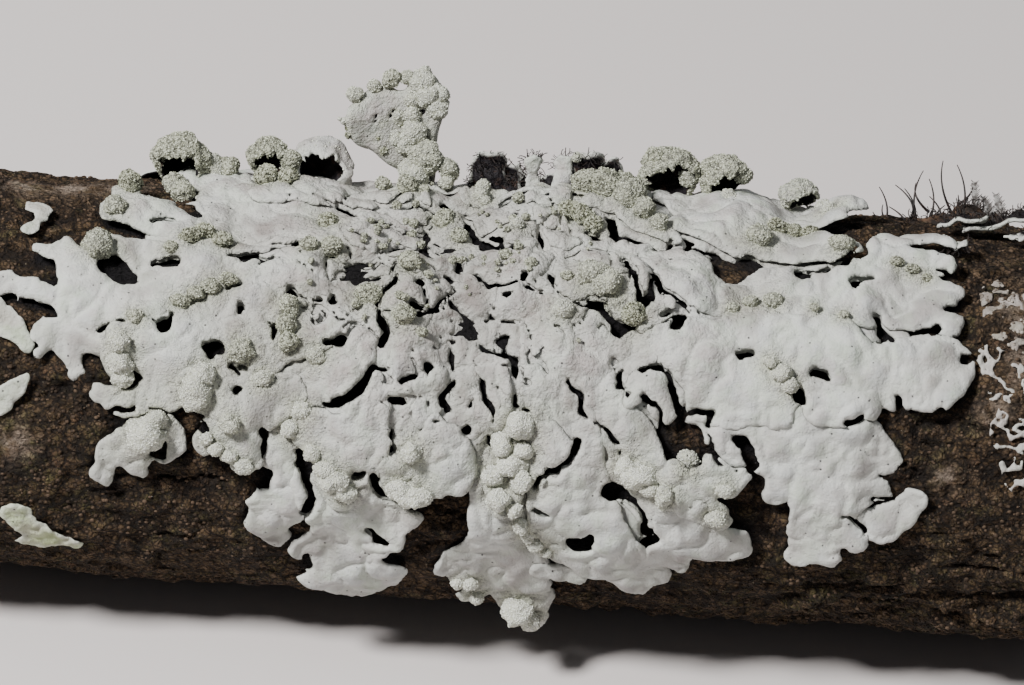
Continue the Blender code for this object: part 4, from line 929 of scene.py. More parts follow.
def roundBall(centre, radius, speck, seed, fine=True):
    return powderBall(centre, np.diag([radius, radius, radius * 0.95]), speck, seed, fine)


def ballOnLobe(index, x, s, rx, rs, speck):
    rise = ballSpec["roundness"] * (rx + rs) / 2
    top = max(float(sampleMap(topMap, x, s)), ballSpec["lowest"])
    centre = onBark(x, s, top + ballSpec["raise"] * rise - ballSpec["sunk"])
    angle = float(barkAngle(s))
    out = np.array([0, -math.cos(angle), math.sin(angle)])
    over = np.array([0, math.sin(angle), math.cos(angle)])
    rx, rs = ballSpec["shrink"] * rx, ballSpec["shrink"] * rs
    fine = max(rx, rs) > ballSpec["fineFrom"]
    return powderBall(centre, [[rx, 0, 0], over * rs, out * rise], speck, index, fine)


# Lobes that leave the bark and bend over, one or more for each CAD node: root x and s, heading
# (0 is +X, 90 over the top), length, half width at root and tip, steepness at both ends, sideways
# cupping, whether the black side looks out, balls at (along, across, out, radius, dotting)
risingLobes = {
    "lobe_top_ascending": [(-2.4, 19.8, 96, 2.7, 1.2, 1.1, 60, 120, 0.25, 1, []),
                           (-1.2, 20.0, 70, 2.1, 0.9, 0.8, 50, 110, 0.3, 1, []),
                           (-0.2, 20.2, 90, 1.4, 0.6, 0.5, 50, 90, 0.3, 1, [])],
    "curl_top_left": [(0.3, 19.6, 84, 2.7, 0.5, 0.5, 74, 104, 0.3, 0, [])],
    "curl_top_brown": [(3.8, 20.0, 98, 3.2, 1.0, 1.0, 66, 128, 0.35, 1, [(2.6, 0.8, 0.0, 0.3, 0.6)]),
                       (2.1, 19.6, 80, 2.7, 0.75, 0.5, 70, 100, 0.5, 0, []),
                       (1.4, 19.8, 100, 1.6, 0.6, 0.4, 60, 90, 0.3, 1, [])],
    "curl_top_right": [(5.3, 20.2, 84, 2.5, 0.7, 0.8, 68, 112, 0.35, 1, [])],
    "lobe_overturned": [(28.2, 17.4, -12, 4.2, 0.8, 1.1, 14, 26, -0.1, 1, []),
                        (26.4, 17.6, -30, 2.8, 0.5, 0.6, 16, 26, 0.1, 1, [])],
    "lobe_overturned_small": [(30.6, 15.6, -20, 2.6, 0.5, 0.7, 10, 26, -0.1, 1, []),
                              (26.6, 13.8, -30, 1.3, 0.35, 0.4, 10, 20, 0.1, 0, [])],
}
risingSpec = {"base": 1.2, "step": 0.13, "thickness": 0.32, "wave": 0.30, "waveSize": 1.2, "ragged": 0.30}


def risingShells(name):
    return [part for tongue in risingLobes[name] for part in tongueShells(*tongue)]


def tongueShells(x, s, heading, length, root, tip, start, end, cup, flip, balls):
    step = risingSpec["step"]
    along, across = np.meshgrid(np.arange(-root - 0.6, length + 1.5, step), np.arange(-3.2, 3.21, step))
    outline = [(0.0, 0, root), (length * 0.55, 0, (root + tip) / 2), (length - tip, 0, tip)]
    field = armField(along, across, outline)
    field = field + risingSpec["ragged"] * ripple(along, across, 0 * along + x, 0.7, 2)
    base = onBark(x, s, risingSpec["base"] - 0.5)
    out = base - np.array([x, 0, axisHeight(x)])
    out = out / np.linalg.norm(out)
    over = np.array([0, out[2], -out[1]])
    turn, first, last = math.radians(heading), math.radians(start), math.radians(end)
    forward = np.array([math.cos(turn), 0, 0]) + over * math.sin(turn)
    side = np.cross(out, forward)
    bend = length / (last - first)

    def place(t, u, n):
        angle = first + (last - first) * np.asarray(t) / length
        reach = bend * (np.sin(angle) - math.sin(first)) - n * np.sin(angle)
        rise = bend * (math.cos(first) - np.cos(angle)) + n * np.cos(angle)
        spot = base + np.multiply.outer(reach, forward) + np.multiply.outer(rise, out)
        return spot + np.multiply.outer(u, side)

    def middle(t, u, edge):
        return -cup * u * u + risingSpec["wave"] * ripple(t, u, 0 * t + x * 3, risingSpec["waveSize"], 2)

    spots = [(t, u, 1.1 * r) for t, u, n, r, speck in balls]
    leaf = sheetShell(along, across, field, middle, risingSpec["thickness"], place, age=0.35,
                      powder=lambda t, u, edge: near(t, u, spots) ** 0.5, speck=0.8)
    values = leaf["values"]
    if flip:
        values["under"] = np.clip(1 - values["under"] - values["edge"] * 0.75, 0, 1)
    values["hair"] = values["under"] * (0.3 + 0.7 * values["edge"])
    beads = [roundBall(place(t, u, n), r, speck, index + abs(x))
             for index, (t, u, n, r, speck) in enumerate(balls)]
    return [leaf, *beads]


# Hoods along the top: lobe tips swollen into domes with a black hollow. Centre (along the twig,
# up, towards the camera), half widths, which way the hollow looks, how far the dome closes
# (degrees), powder, dotting, then small balls at (along, up, towards, radius, dotting)
hoods = {
    "hood_far_left": ((-21.8, 13.8, 3.0), (1.6, 1.6, 1.5), (-0.15, -0.85, 0.60), 122, 1.0, 0.9, [
        (-23.2, 14.0, 2.6, 0.55, 0.9), (-19.9, 13.6, 2.6, 0.9, 0.5), (-21.9, 12.2, 4.6, 0.72, 0.8)]),
    "hood_left": ((-16.3, 14.3, 3.0), (1.15, 1.1, 1.0), (0.2, -0.8, 0.55), 125, 1.0, 0.9, [
        (-17.3, 14.3, 2.6, 0.45, 0.9), (-14.9, 14.2, 3.3, 0.75, 0.9), (-18.7, 13.5, 2.6, 0.7, 0.9)]),
    "hood_left_arch": ((-13.0, 13.7, 2.2), (1.9, 1.8, 1.5), (-0.1, -0.35, 0.93), 130, 0.12, 0.5, [
        (-13.2, 12.8, 4.1, 0.32, 0.2)]),
    "hood_right_arch": ((8.9, 14.9, 2.6), (1.7, 1.5, 1.4), (0.1, -0.75, 0.65), 122, 0.9, 0.9, [
        (7.9, 15.6, 3.0, 0.8, 0.9), (10.0, 14.6, 3.0, 0.6, 0.7)]),
    "hood_right": ((12.4, 14.8, 2.6), (1.5, 1.3, 1.3), (0.5, -0.8, 0.35), 118, 0.9, 0.9, [
        (11.6, 15.3, 3.0, 0.7, 0.9), (13.4, 15.0, 2.8, 0.6, 0.8), (12.6, 13.4, 3.6, 0.55, 0.4)]),
    "hood_far_right": ((17.1, 13.9, 2.6), (1.1, 0.9, 0.9), (0.5, -0.8, 0.3), 120, 0.6, 0.8, [
        (18.7, 13.3, 3.0, 0.5, 0.3)]),
}
hoodSpec = {
    "step": 0.07, "thickness": 0.34, "lumps": 0.16, "lumpSize": 0.7, "ragged": 0.22, "raggedSize": 0.6,
    "edgeRoom": 0.4,
}


def viewPoint(x, up, towards):
    # a point given along the twig, up and towards the camera, from the twig's axis
    sine, cosine = math.sin(faceAngle), math.cos(faceAngle)
    return np.array([x, up * sine - towards * cosine, float(axisHeight(x)) + up * cosine + towards * sine])


def viewTurn(x, up, towards):
    turned = viewPoint(x, up, towards) - viewPoint(0.0, 0.0, 0.0)
    turned[0] = x
    return turned / np.linalg.norm(turned)


def hoodShells(name):
    (x, up, out), sizes, hollow, extent, powder, speck, balls = hoods[name]
    centre = viewPoint(x, up, out)
    pole = -viewTurn(*hollow)
    aside = np.cross(pole, [1.0, 0.0, 0.0])
    aside = aside / np.linalg.norm(aside)
    third = np.cross(aside, pole)
    limit = math.radians(extent)
    room = limit + hoodSpec["edgeRoom"]
    span = np.arange(-room, room, hoodSpec["step"])
    ps, qs = np.meshgrid(span, span)
    ragged = hoodSpec["ragged"] * ripple(ps, qs, 0 * ps + x, hoodSpec["raggedSize"], 2)
    field = np.hypot(ps, qs) - limit + ragged
    frameView = np.array([viewTurn(1, 0, 0), viewTurn(0, 1, 0), viewTurn(0, 0, 1)])

    def place(p, q, n):
        angle = np.hypot(p, q) + 1e-9
        turn = np.multiply.outer(np.sin(angle) * p / angle, aside)
        turn = turn + np.multiply.outer(np.sin(angle) * q / angle, third)
        turn = turn + np.multiply.outer(np.cos(angle), pole)
        spot = turn * 1.5 + centre
        grow = 1 + hoodSpec["lumps"] * ripple(*spot.T, hoodSpec["lumpSize"], 2) + n / np.mean(sizes)
        return centre + ((turn @ frameView.T) * sizes * grow[:, None]) @ frameView

    dome = sheetShell(ps, qs, field, lambda p, q, edge: 0 * p, hoodSpec["thickness"], place, 0.15,
                      age=0.3, powder=powder, speck=speck, grain=powder)
    dome["values"]["grain"] = dome["values"]["grain"] * (1 - dome["values"]["under"])
    beads = [roundBall(viewPoint(*spot), r, dots, index + abs(x))
             for index, (*spot, r, dots) in enumerate(balls)]
    return [dome, *beads]


# The tall lobe: arms of (x, height above the twig's axis, half width), slots (shallow dents painted black
# as painted shade where clefts through it would be), and its balls at (x, height, out, radius, dotting)
erectSheets = {
    "arms": [
        [(-7.0, 12.4, 1.2), (-6.9, 14.2, 1.2), (-7.0, 16.0, 1.2), (-6.9, 18.0, 1.3), (-6.9, 19.5, 1.1)],
        [(-7.3, 15.0, 1.0), (-8.8, 16.3, 1.5), (-10.0, 17.2, 1.6), (-10.5, 17.8, 1.1)],
        [(-8.0, 17.8, 1.6), (-9.5, 18.5, 1.1)], [(-6.6, 18.8, 0.9), (-6.1, 18.6, 0.7)],
    ],
    "slots": [
        (-6.75, 16.5, 0.28), (-6.5, 16.1, 0.22), (-6.8, 18.2, 0.22), (-8.6, 18.1, 0.16), (-8.8, 17.8, 0.14),
        (-9.7, 17.8, 0.12), (-9.75, 17.5, 0.1), (-10.9, 18.8, 0.2), (-10.0, 15.3, 0.25), (-9.6, 15.0, 0.25)],
    "balls": [
        (-11.1, 19.0, 0.1, 0.55, 0.6), (-9.9, 19.6, 0.1, 0.42, 0.7), (-8.9, 20.1, 0.15, 0.62, 0.8),
        (-7.9, 20.2, 0.1, 0.5, 0.7), (-6.9, 20.0, 0.2, 0.95, 0.45), (-6.0, 19.4, 0.2, 0.75, 0.35),
        (-5.9, 18.5, 0.2, 0.75, 0.35), (-6.5, 19.2, 0.5, 0.8, 0.4), (-7.4, 18.9, 0.5, 0.55, 0.6),
        (-7.4, 18.0, 0.6, 0.58, 0.5), (-8.2, 17.7, 0.5, 0.5, 0.6), (-7.3, 16.9, 0.7, 0.82, 0.5),
        (-7.7, 16.0, 0.7, 0.65, 0.5), (-8.3, 16.4, 0.6, 0.5, 0.5), (-6.4, 15.4, 0.9, 1.08, 0.75),
        (-7.1, 14.4, 1.1, 0.95, 0.5), (-4.9, 14.8, 0.8, 0.68, 0.8), (-5.0, 14.0, 1.0, 0.5, 0.7),
        (-11.7, 17.4, 0.2, 0.24, 0.1), (-11.95, 17.55, 0.2, 0.16, 0.1), (-11.2, 17.8, 0.3, 0.2, 0.1),
        (-11.35, 16.5, 0.25, 0.24, 1.0), (-11.4, 17.0, 0.2, 0.2, 1.0), (-9.5, 16.4, 0.45, 0.28, 1.0),
        (-9.1, 15.6, 0.5, 0.3, 1.0), (-9.2, 17.4, 0.45, 0.28, 0.8), (-9.0, 13.7, 1.6, 0.46, 0.9)],
    "lean": 14.0, "cup": 0.06, "cupMiddle": -8, "setBack": 0.6, "thickness": 0.9, "step": 0.13,
    "ragged": 0.12, "raggedSize": 0.8, "across": (-14, -2.5), "upwards": (11.5, 22.5), "fineFrom": 0.4,
}


def erectPlace(x, height, out):
    tilt = math.pi / 2 + faceAngle - math.radians(erectSheets["lean"])
    rise = np.array([0, -math.cos(tilt), math.sin(tilt)])
    front = np.array([0, -math.sin(tilt), -math.cos(tilt)])
    x = np.asarray(x, float)
    foot = np.stack([x, 0 * x, axisHeight(x)], -1)
    depth = erectSheets["cup"] * (x - erectSheets["cupMiddle"]) ** 2 - erectSheets["setBack"] + out
    return foot + np.multiply.outer(height, rise) + np.multiply.outer(depth, front)


def erectShells():
    spec = erectSheets
    xs, hs = np.meshgrid(*(np.arange(*span, spec["step"]) for span in (spec["across"], spec["upwards"])))
    field = lobeField(xs, hs, spec["arms"])
    field = field + spec["ragged"] * ripple(xs, hs, 0 * xs, spec["raggedSize"], 2)
    spots = [(x, h, 1.15 * r) for x, h, out, r, speck in spec["balls"]]

    def middle(x, h, edge):
        relief = 0.40 * ripple(x, h, 0 * x + 5, 2.0, 2) + 0.25 * (1 - np.exp(-edge / 0.7))
        return relief - 0.35 * near(x, h, spec["slots"])

    leaf = sheetShell(xs, hs, field, middle, spec["thickness"], erectPlace, 0.5, age=0.55,
                      powder=lambda x, h, edge: near(x, h, spots) ** 0.5, speck=0.5)
    flat, values = leaf["flat"], leaf["values"]
    # painted shade: the slots are only shallow dents, painted with the black underside colour where clefts
    # through the lobe would be dark
    dark = np.clip(near(flat[:, 0], flat[:, 1], spec["slots"]) * 2.2 - 0.7, 0, 1)
    values["hair"] = (values["under"] == 1.0) * (values["edge"] < 0.1) * 1.0
    values["under"] = np.maximum(values["under"] * 0.9, dark)
    beads = [powderBall(erectPlace(*spot), np.diag([r, r * 0.9, r]), speck, index, r > spec["fineFrom"])
             for index, (*spot, r, speck) in enumerate(spec["balls"])]
    return [leaf, *beads]


# Places on the bark (x, s, reach): green film, pale worn bark, smooth bark, knobbly bark and holes
# in the lobes that show bare bark; the crease is one long crack near the underside
barkPlaces = {
    "film": [(-31, -5, 4.0), (-27, -9, 4.5), (-23, -10, 3.0), (-33, -12, 3.0), (25, -13, 4.5), (31, -12, 4.0),
             (17, -15, 4.0), (34, -15, 3.0), (-20, -13, 3.0)],
    "pale": [(-28.5, 17.8, 2.0), (-25.5, 18.0, 2.0), (-31.0, 17.4, 1.8), (27.0, -3.2, 0.8), (29.8, 1.0, 1.0),
             (33.0, 9.0, 2.2), (-30.5, -4.8, 1.2), (31.5, 4.0, 1.4), (31.5, 8.0, 1.6)],
    "smooth": [(-28.5, 17.5, 2.4), (-25.5, 17.8, 2.4), (-31.0, 17.0, 2.0), (27.0, -3.2, 1.0)],
    "knobbly": [(19, -15.2, 2.5), (24, -15.4, 3.0), (29, -15.6, 3.0), (34, -15.8, 2.5)],
    "bareHoles": [(12.9, 10.3, 1.1), (10.9, -1.5, 0.9)],
}
creaseSpec = {"s": -13.1, "from": 15, "fadeIn": 4, "width": 0.42, "depth": 0.55, "wander": 0.5}


def barkSpot(angle):
    # the s of an angle round the twig
    girth = (angle - faceAngle) * twigSpec["radius"]
    size, squeeze = np.abs(girth), crowding * crowdingReach ** 2
    closeS = (1 - np.sqrt(np.maximum(1 - 4 * crowding * size, 0))) / (2 * crowding)
    return np.sign(girth) * np.where(size < crowdingReach - squeeze, closeS, size + squeeze)


def barkShell():
    spec = twigSpec
    around = spec["around"]
    angles = faceAngle - math.pi + np.arange(around) * 2 * math.pi / around
    half = spec["length"] / 2
    rows = np.linspace(-half, half, spec["along"])
    x, angle = np.meshgrid(rows, angles, indexing="ij")
    y, z = -spec["radius"] * np.cos(angle), spec["radius"] * np.sin(angle)
    s = barkSpot(angle)
    ledges = np.tanh(3 * ripple(x / 2.0, y, z, 1.9, 3))
    furrows = np.exp(-(ripple(x / 2.6, y + 9, z, 1.7, 2) / 0.10) ** 2)
    fromCrease = s - creaseSpec["s"] + creaseSpec["wander"] * ripple(x, y, z, 2.4, 2)
    crease = np.exp(-(fromCrease / creaseSpec["width"]) ** 2)
    crease = crease * np.clip((x - creaseSpec["from"]) / creaseSpec["fadeIn"], 0, 1)
    lumps = 1 + 3.0 * near(x, s, barkPlaces["knobbly"])
    rise = spec["swell"] * ripple(x, y, z, 7.0, 2) + spec["ledges"] * ledges
    rise = rise - spec["furrows"] * furrows * np.clip(0.6 + ripple(x, y, z + 4, 4.0), 0, 1)
    rise = rise - creaseSpec["depth"] * crease
    rise = rise + spec["knobs"] * lumps * np.maximum(ripple(x / 1.4, y + 5, z, 1.0, 2), -0.2)
    rise = rise + spec["grit"] * ripple(x / 1.3, y, z + 3, 0.5, 2)
    smooth = near(x, s, barkPlaces["smooth"])
    rise = rise * (1 - 0.75 * smooth) + 0.05
    # how deep the bark sinks; the bark material darkens it as painted shade in furrows and the crease
    hollow = np.clip((-0.10 - rise) / 0.28, 0, 1)
    cover = sampleMap(np.minimum(coverMap, feltMap), x, s)
    cover[(s < -22.5) | (s > 43)] = 9      # past the ends of the colony's maps
    hidden = np.clip(0.5 - (cover + 0.2) / 0.5, 0, 1)
    reach = radiusAt(x) + np.minimum(rise, 0.8) * (1 - hidden) - 0.2 * hidden
    points = np.stack([x, -reach * np.cos(angle), axisHeight(x) + reach * np.sin(angle)], -1)
    # black felt under the lobes and in their cracks; it reaches about 0.15 mm past each lobe's edge as a
    # painted shadow line
    felt = np.clip(0.5 - (cover + 0.05) / 0.4, 0, 1) * (1 - near(x, s, barkPlaces["bareHoles"]))
    film, pale = near(x, s, barkPlaces["film"]), near(x, s, barkPlaces["pale"])
    rings, values = [], {key: [] for key in ("felt", "film", "hollow", "hair", "pale", "wood", "grain")}

    def addRing(ring, **given):
        rings.append(ring)
        for key in values:
            values[key].append(np.broadcast_to(given.get(key, 0.0), around))

    def endRings(row, sign):
        centre = np.array([x[row, 0], 0.0, float(axisHeight(x[row, 0]))])
        shares = np.linspace(0.04, 1.0, spec["endRings"])
        for share in shares if sign < 0 else shares[::-1]:
            ring = centre + (points[row] - centre) * share
            ring[:, 0] = centre[0] + 0.05 * ripple(ring[:, 0], ring[:, 1], ring[:, 2], 1.0) * (share < 0.98)
            ring[:, 0] = np.clip(ring[:, 0], -half, half)
            addRing(ring, wood=1.0 if share < 0.94 else 0.2)

    endRings(0, -1)
    for row in range(spec["along"]):
        bare = np.clip(cover[row] * 1.5 - 0.1, 0, 1)
        addRing(points[row], felt=felt[row], film=film[row], pale=pale[row],
                hollow=hollow[row], hair=np.clip(1 - np.abs(cover[row] + 0.45) / 0.5, 0, 1),
                grain=bare * (1 - pale[row] * 0.7))
    endRings(-1, 1)
    flat = np.vstack(rings)
    flat[:, 2] = np.maximum(flat[:, 2], 0.0)
    faces, count = [], len(rings)
    for ring in range(count - 1):
        a = ring * around
        for k in range(around):
            n = (k + 1) % around
            faces.append([a + k, a + n, a + around + n, a + around + k])
    middles = [flat[:around].mean(0), flat[-around:].mean(0)]
    flat = np.vstack([flat, middles])
    last = (count - 1) * around
    for k in range(around):
        n = (k + 1) % around
        faces.append([len(flat) - 2, n, k])
        faces.append([len(flat) - 1, last + k, last + n])
    values = {key: np.concatenate(part + [part[0][:1], part[-1][:1]]) for key, part in values.items()}
    return shell(flat, values, faces)


class ScatterTree:
    # a node tree that repeats one small mesh over the faces of a piece, where a value asks for it
    def __init__(self, name, sizes):
        self.tree = bpy.data.node_groups.new(name, "GeometryNodeTree")
        face = self.tree.interface
        face.new_socket("Geometry", in_out="INPUT", socket_type="NodeSocketGeometry")
        kinds = {"Where": "String", "Density": "Float", "Seed": "Int", "Material": "Material"}
        for label, kind in [*kinds.items(), *((size, "Float") for size in sizes)]:
            face.new_socket(label, in_out="INPUT", socket_type="NodeSocket" + kind)
        face.new_socket("Geometry", in_out="OUTPUT", socket_type="NodeSocketGeometry")
        self.given = self.tree.nodes.new("NodeGroupInput").outputs

    def add(self, kind, inputs, output=0, **settings):
        node = self.tree.nodes.new(kind)
        for key, value in settings.items():
            setattr(node, key, value)
        for key, value in inputs.items():
            if isinstance(value, bpy.types.NodeSocket):
                self.tree.links.new(value, node.inputs[key])
            else:
                node.inputs[key].default_value = value
        return node.outputs[output]

    def random(self, low, high):
        # sockets 2 and 3 are a plain number's limits, and output 1 the number
        inputs = {2: low, 3: high, "Seed": self.given["Seed"]}
        return self.add("FunctionNodeRandomValue", inputs, 1, data_type="FLOAT")

    def spread(self, instance, scale, turn=None):
        given = self.given
        share = self.add("GeometryNodeInputNamedAttribute", {"Name": given["Where"]}, data_type="FLOAT")
        amount = self.add("ShaderNodeMath", {0: share, 1: given["Density"]}, operation="MULTIPLY")
        points = self.add("GeometryNodeDistributePointsOnFaces", {
            "Mesh": given["Geometry"], "Density": amount, "Seed": given["Seed"]})
        placed = self.add("GeometryNodeInstanceOnPoints", {
            "Points": points, "Instance": instance, "Scale": scale,
            "Rotation": points.node.outputs["Rotation"]})
        if turn:
            placed = self.add("GeometryNodeRotateInstances", {"Instances": placed, "Rotation": turn})
        real = self.add("GeometryNodeRealizeInstances", {"Geometry": placed})
        smooth = self.add("GeometryNodeSetShadeSmooth", {"Geometry": real})
        painted = self.add("GeometryNodeSetMaterial", {"Geometry": smooth, "Material": given["Material"]})
        end = self.tree.nodes.new("NodeGroupOutput")
        self.tree.links.new(painted, end.inputs["Geometry"])
        return self.tree


def grainTree():
    # little rounded grains
    scatter = ScatterTree("grains", ("Smallest", "Largest", "Flatness"))
    grain = scatter.add("GeometryNodeMeshIcoSphere", {"Radius": 1.0, "Subdivisions": 1})
    squash = scatter.add("ShaderNodeCombineXYZ", {0: 1.0, 1: 0.8, 2: scatter.given["Flatness"]})
    grain = scatter.add("GeometryNodeTransform", {"Geometry": grain, "Scale": squash})
    size = scatter.random(scatter.given["Smallest"], scatter.given["Largest"])
    return scatter.spread(grain, size)


def hairTree():
    # short curved hairs that taper to a point
    scatter = ScatterTree("hairs", ("Length", "Thickness", "Bend"))
    tip = scatter.add("ShaderNodeCombineXYZ", {0: scatter.given["Bend"], 2: 1.0})
    curve = scatter.add("GeometryNodeCurvePrimitiveBezierSegment", {
        "Resolution": 5, "Start": (0.0, 0.0, -0.1), "Start Handle": (0.0, 0.0, 0.5),
        "End Handle": (0.1, 0.0, 0.9), "End": tip})
    along = scatter.add("GeometryNodeSplineParameter", {})
    slim = scatter.add("ShaderNodeMapRange", {"Value": along, 3: 1.0, 4: 0.25})
    curve = scatter.add("GeometryNodeSetCurveRadius", {"Curve": curve, "Radius": slim})
    circle = scatter.add("GeometryNodeCurvePrimitiveCircle", {
        "Resolution": 4, "Radius": scatter.given["Thickness"]})
    hair = scatter.add("GeometryNodeCurveToMesh", {
        "Curve": curve, "Profile Curve": circle, "Fill Caps": True})
    share = scatter.random(0.45, 1.0)
    size = scatter.add("ShaderNodeMath", {0: share, 1: scatter.given["Length"]}, operation="MULTIPLY")
    limits = {0: (-0.7, -0.7, 0.0), 1: (0.7, 0.7, 6.28), "Seed": scatter.given["Seed"]}
    turn = scatter.add("FunctionNodeRandomValue", limits, data_type="FLOAT_VECTOR")
    return scatter.spread(hair, size, turn)


def scattered(name, tree, source, **given):
    # a new piece made by a node tree from the mesh of another
    holder = bpy.data.objects.new("holder", source.data)
    bpy.context.scene.collection.objects.link(holder)
    modifier = holder.modifiers.new("scatter", "NODES")
    modifier.node_group = tree
    for item in tree.interface.items_tree:
        if item.in_out == "INPUT" and item.name in given:
            modifier[item.identifier] = given[item.name]
    graph = bpy.context.evaluated_depsgraph_get()
    mesh = bpy.data.meshes.new_from_object(holder.evaluated_get(graph))
    mesh.name = name
    bpy.data.objects.remove(holder, do_unlink=True)
    piece = bpy.data.objects.new(name, mesh)
    bpy.context.scene.collection.objects.link(piece)
    return piece


# grains (density per square metre, smallest and largest radius in metres, flatness, seed) and
# short hairs (density per square metre, length in metres, thickness and bend in lengths, seed)
grainSpec = {
    "balls": (34e6, 0.000036, 0.000078, 0.8, 3), "lobes": (32e6, 0.000045, 0.000088, 0.8, 5),
    "erect": (32e6, 0.000045, 0.000088, 0.8, 7), "bark": (2.6e6, 0.00007, 0.00019, 0.55, 9),
    "crust": (9e6, 0.00007, 0.00017, 0.8, 8),
}
hairSpec = {
    "lobes": (45e6, 0.00055, 0.06, 0.45, 4), "erect": (12e6, 0.0006, 0.06, 0.5, 14),
    "bark": (5.5e6, 0.0008, 0.05, 0.4, 6), "mound": (30e6, 0.0007, 0.05, 0.5, 12),
}


def addGrains(name, piece, kind, skin, slotName):
    density, smallest, largest, flatness, seed = grainSpec[kind]
    made = scattered(name, grains, piece, Where="grain", Density=density, Smallest=smallest, Largest=largest,
                     Flatness=flatness, Seed=seed, Material=skin)
    return handOver(made, slotName)


def addHairs(name, piece, kind):
    density, length, thickness, bend, seed = hairSpec[kind]
    made = scattered(name, hairs, piece, Where="hair", Density=density, Length=length, Thickness=thickness,
                     Bend=bend, Seed=seed, Material=hairSkin)
    return handOver(made, "rhizines")


# skins: young, old, powder and greenish tones
skinTones = {
    "lobes": ((0.505, 0.52, 0.51), (0.37, 0.345, 0.33), (0.74, 0.75, 0.68), (0.44, 0.495, 0.405)),
    "powdery_lobes": ((0.505, 0.52, 0.51), (0.37, 0.345, 0.33), (0.76, 0.77, 0.70), (0.44, 0.495, 0.405)),
    "green_lichen": ((0.40, 0.47, 0.27), (0.55, 0.60, 0.45), (0.60, 0.63, 0.45), (0.42, 0.50, 0.25)),
    "crust": ((0.47, 0.45, 0.42), (0.40, 0.38, 0.35), (0.72, 0.73, 0.66), (0.55, 0.58, 0.51)),
    "grey_crust": ((0.24, 0.205, 0.175), (0.20, 0.17, 0.15), (0.4, 0.4, 0.35), (0.30, 0.28, 0.22)),
    "scraps": ((0.43, 0.47, 0.38), (0.40, 0.40, 0.36), (0.60, 0.62, 0.52), (0.38, 0.45, 0.30)),
}
skins = {name: lichenMaterial(name, *tones) for name, tones in skinTones.items()}
lobeSkin, powderSkin = skins["lobes"], skins["powdery_lobes"]
granuleSkin = granuleMaterial()
barkSkin = barkMaterial()
crustGrainSkin = plainMaterial("crust_grains", (0.13, 0.105, 0.085), (0.40, 0.36, 0.31), 2.0, 0.9)
grainSkin = plainMaterial("bark_grains", (0.024, 0.015, 0.009), (0.092, 0.060, 0.038), 1.4, 0.85)
hairSkin = plainMaterial("root_hairs", (0.010, 0.008, 0.008), (0.035, 0.025, 0.022), 1.5, 0.55)
print("materials made")

# leafy lobes, front and back
slots = {"thallus_centre": "old_thallus", "thallus_back": "old_thallus"}
for table, step in ((lobes, sheetSpec["step"]), (backLobes, sheetSpec["backStep"])):
    for node, sheets in table.items():
        leaf = joined([leafShell(level, arms, step) for level, arms in sheets])
        handOver(pieceFrom(node + "_leaf", leaf, lobeSkin), slots.get(node, "lobes"), node)

# the old thallus that fills the space between the lobes, away from the margin
feltMap = np.maximum(closed(coverMap, 2.0), filtered(closed(coverMap, 3.4), 2.0, np.maximum)) - 0.05
feltMap = feltMap + 0.9 * np.clip(1 - 2.2 * colonyAge(colonyX, colonyS), 0, 1)
baseSpec = {"step": sheetSpec["backStep"] * 0.9, "across": (-34, 34), "around": (-21, 43), "inset": 0.35}
xs, ss = np.meshgrid(*(np.arange(*baseSpec[key], baseSpec["step"]) for key in ("across", "around")))
baseField = sampleMap(feltMap + baseSpec["inset"], xs, ss)
base = cutSheet(xs, ss, baseField, 0, crackSpec["baseLess"], crackSpec["wider"])
handOver(pieceFrom("thallus_base", base, lobeSkin), "old_thallus")
print("lobes made")

bark = handOver(pieceFrom("twig_bark", barkShell(), barkSkin), "bark", "twig")
print("bark made")

# small crumbs crowd the oldest part of the thallus
crumbSpec = {
    "count": 150, "middle": (-4.2, 10.6), "spread": (4.4, 2.9), "smallest": 0.14, "largest": 0.42,
    "flatness": 0.85, "speck": 0.9, "inside": -0.2,
}
draw = np.random.default_rng(5)
crumbX, crumbS = (draw.normal(middle, spread, crumbSpec["count"])
                  for middle, spread in zip(crumbSpec["middle"], crumbSpec["spread"]))
for x, s, size in zip(crumbX, crumbS, draw.uniform(0, 1, crumbSpec["count"]) ** 2):
    radius = crumbSpec["smallest"] + size * (crumbSpec["largest"] - crumbSpec["smallest"])
    if sampleMap(coverMap, x, s) < crumbSpec["inside"]:
        powderBalls.append((x, s, radius, radius * crumbSpec["flatness"], crumbSpec["speck"]))

# the balls are four pieces, split along the twig
ballGroups = {"far_left": (-40, -15), "left": (-15, -6), "middle": (-6, 3), "right": (3, 40)}
grains = grainTree()
balls = [ballOnLobe(index, *ball) for index, ball in enumerate(powderBalls)]
for name, (low, high) in ballGroups.items():
    chosen = [part for part, ball in zip(balls, powderBalls) if low <= ball[0] < high]
    piece = handOver(pieceFrom("powder_balls_" + name, joined(chosen), powderSkin), "powdery_lobes")
    addGrains("powder_grains_" + name, piece, "balls", granuleSkin, "powdery_lobes")
print("powder made")

hairs = hairTree()
for node in [*risingLobes, *hoods]:
    parts = hoodShells(node) if node in hoods else risingShells(node)
    piece = handOver(pieceFrom(node + "_leaf", joined(parts), powderSkin), "powdery_lobes", node)
    if node in risingLobes:
        addHairs(node + "_hairs", piece, "lobes")
    if node in hoods or node == "curl_top_brown":
        addGrains(node + "_grains", piece, "lobes", granuleSkin, "powdery_lobes")
erect = pieceFrom("erect_lobe_leaf", joined(erectShells()), powderSkin)
handOver(erect, "powdery_lobes", "erect_lobe")
addGrains("erect_lobe_grains", erect, "erect", granuleSkin, "powdery_lobes")
addHairs("erect_lobe_hairs", erect, "erect")
print("rising lobes made")

addGrains("bark_grains", bark, "bark", grainSkin, "bark")
addHairs("root_hairs", bark, "bark")
print("bark grains made")

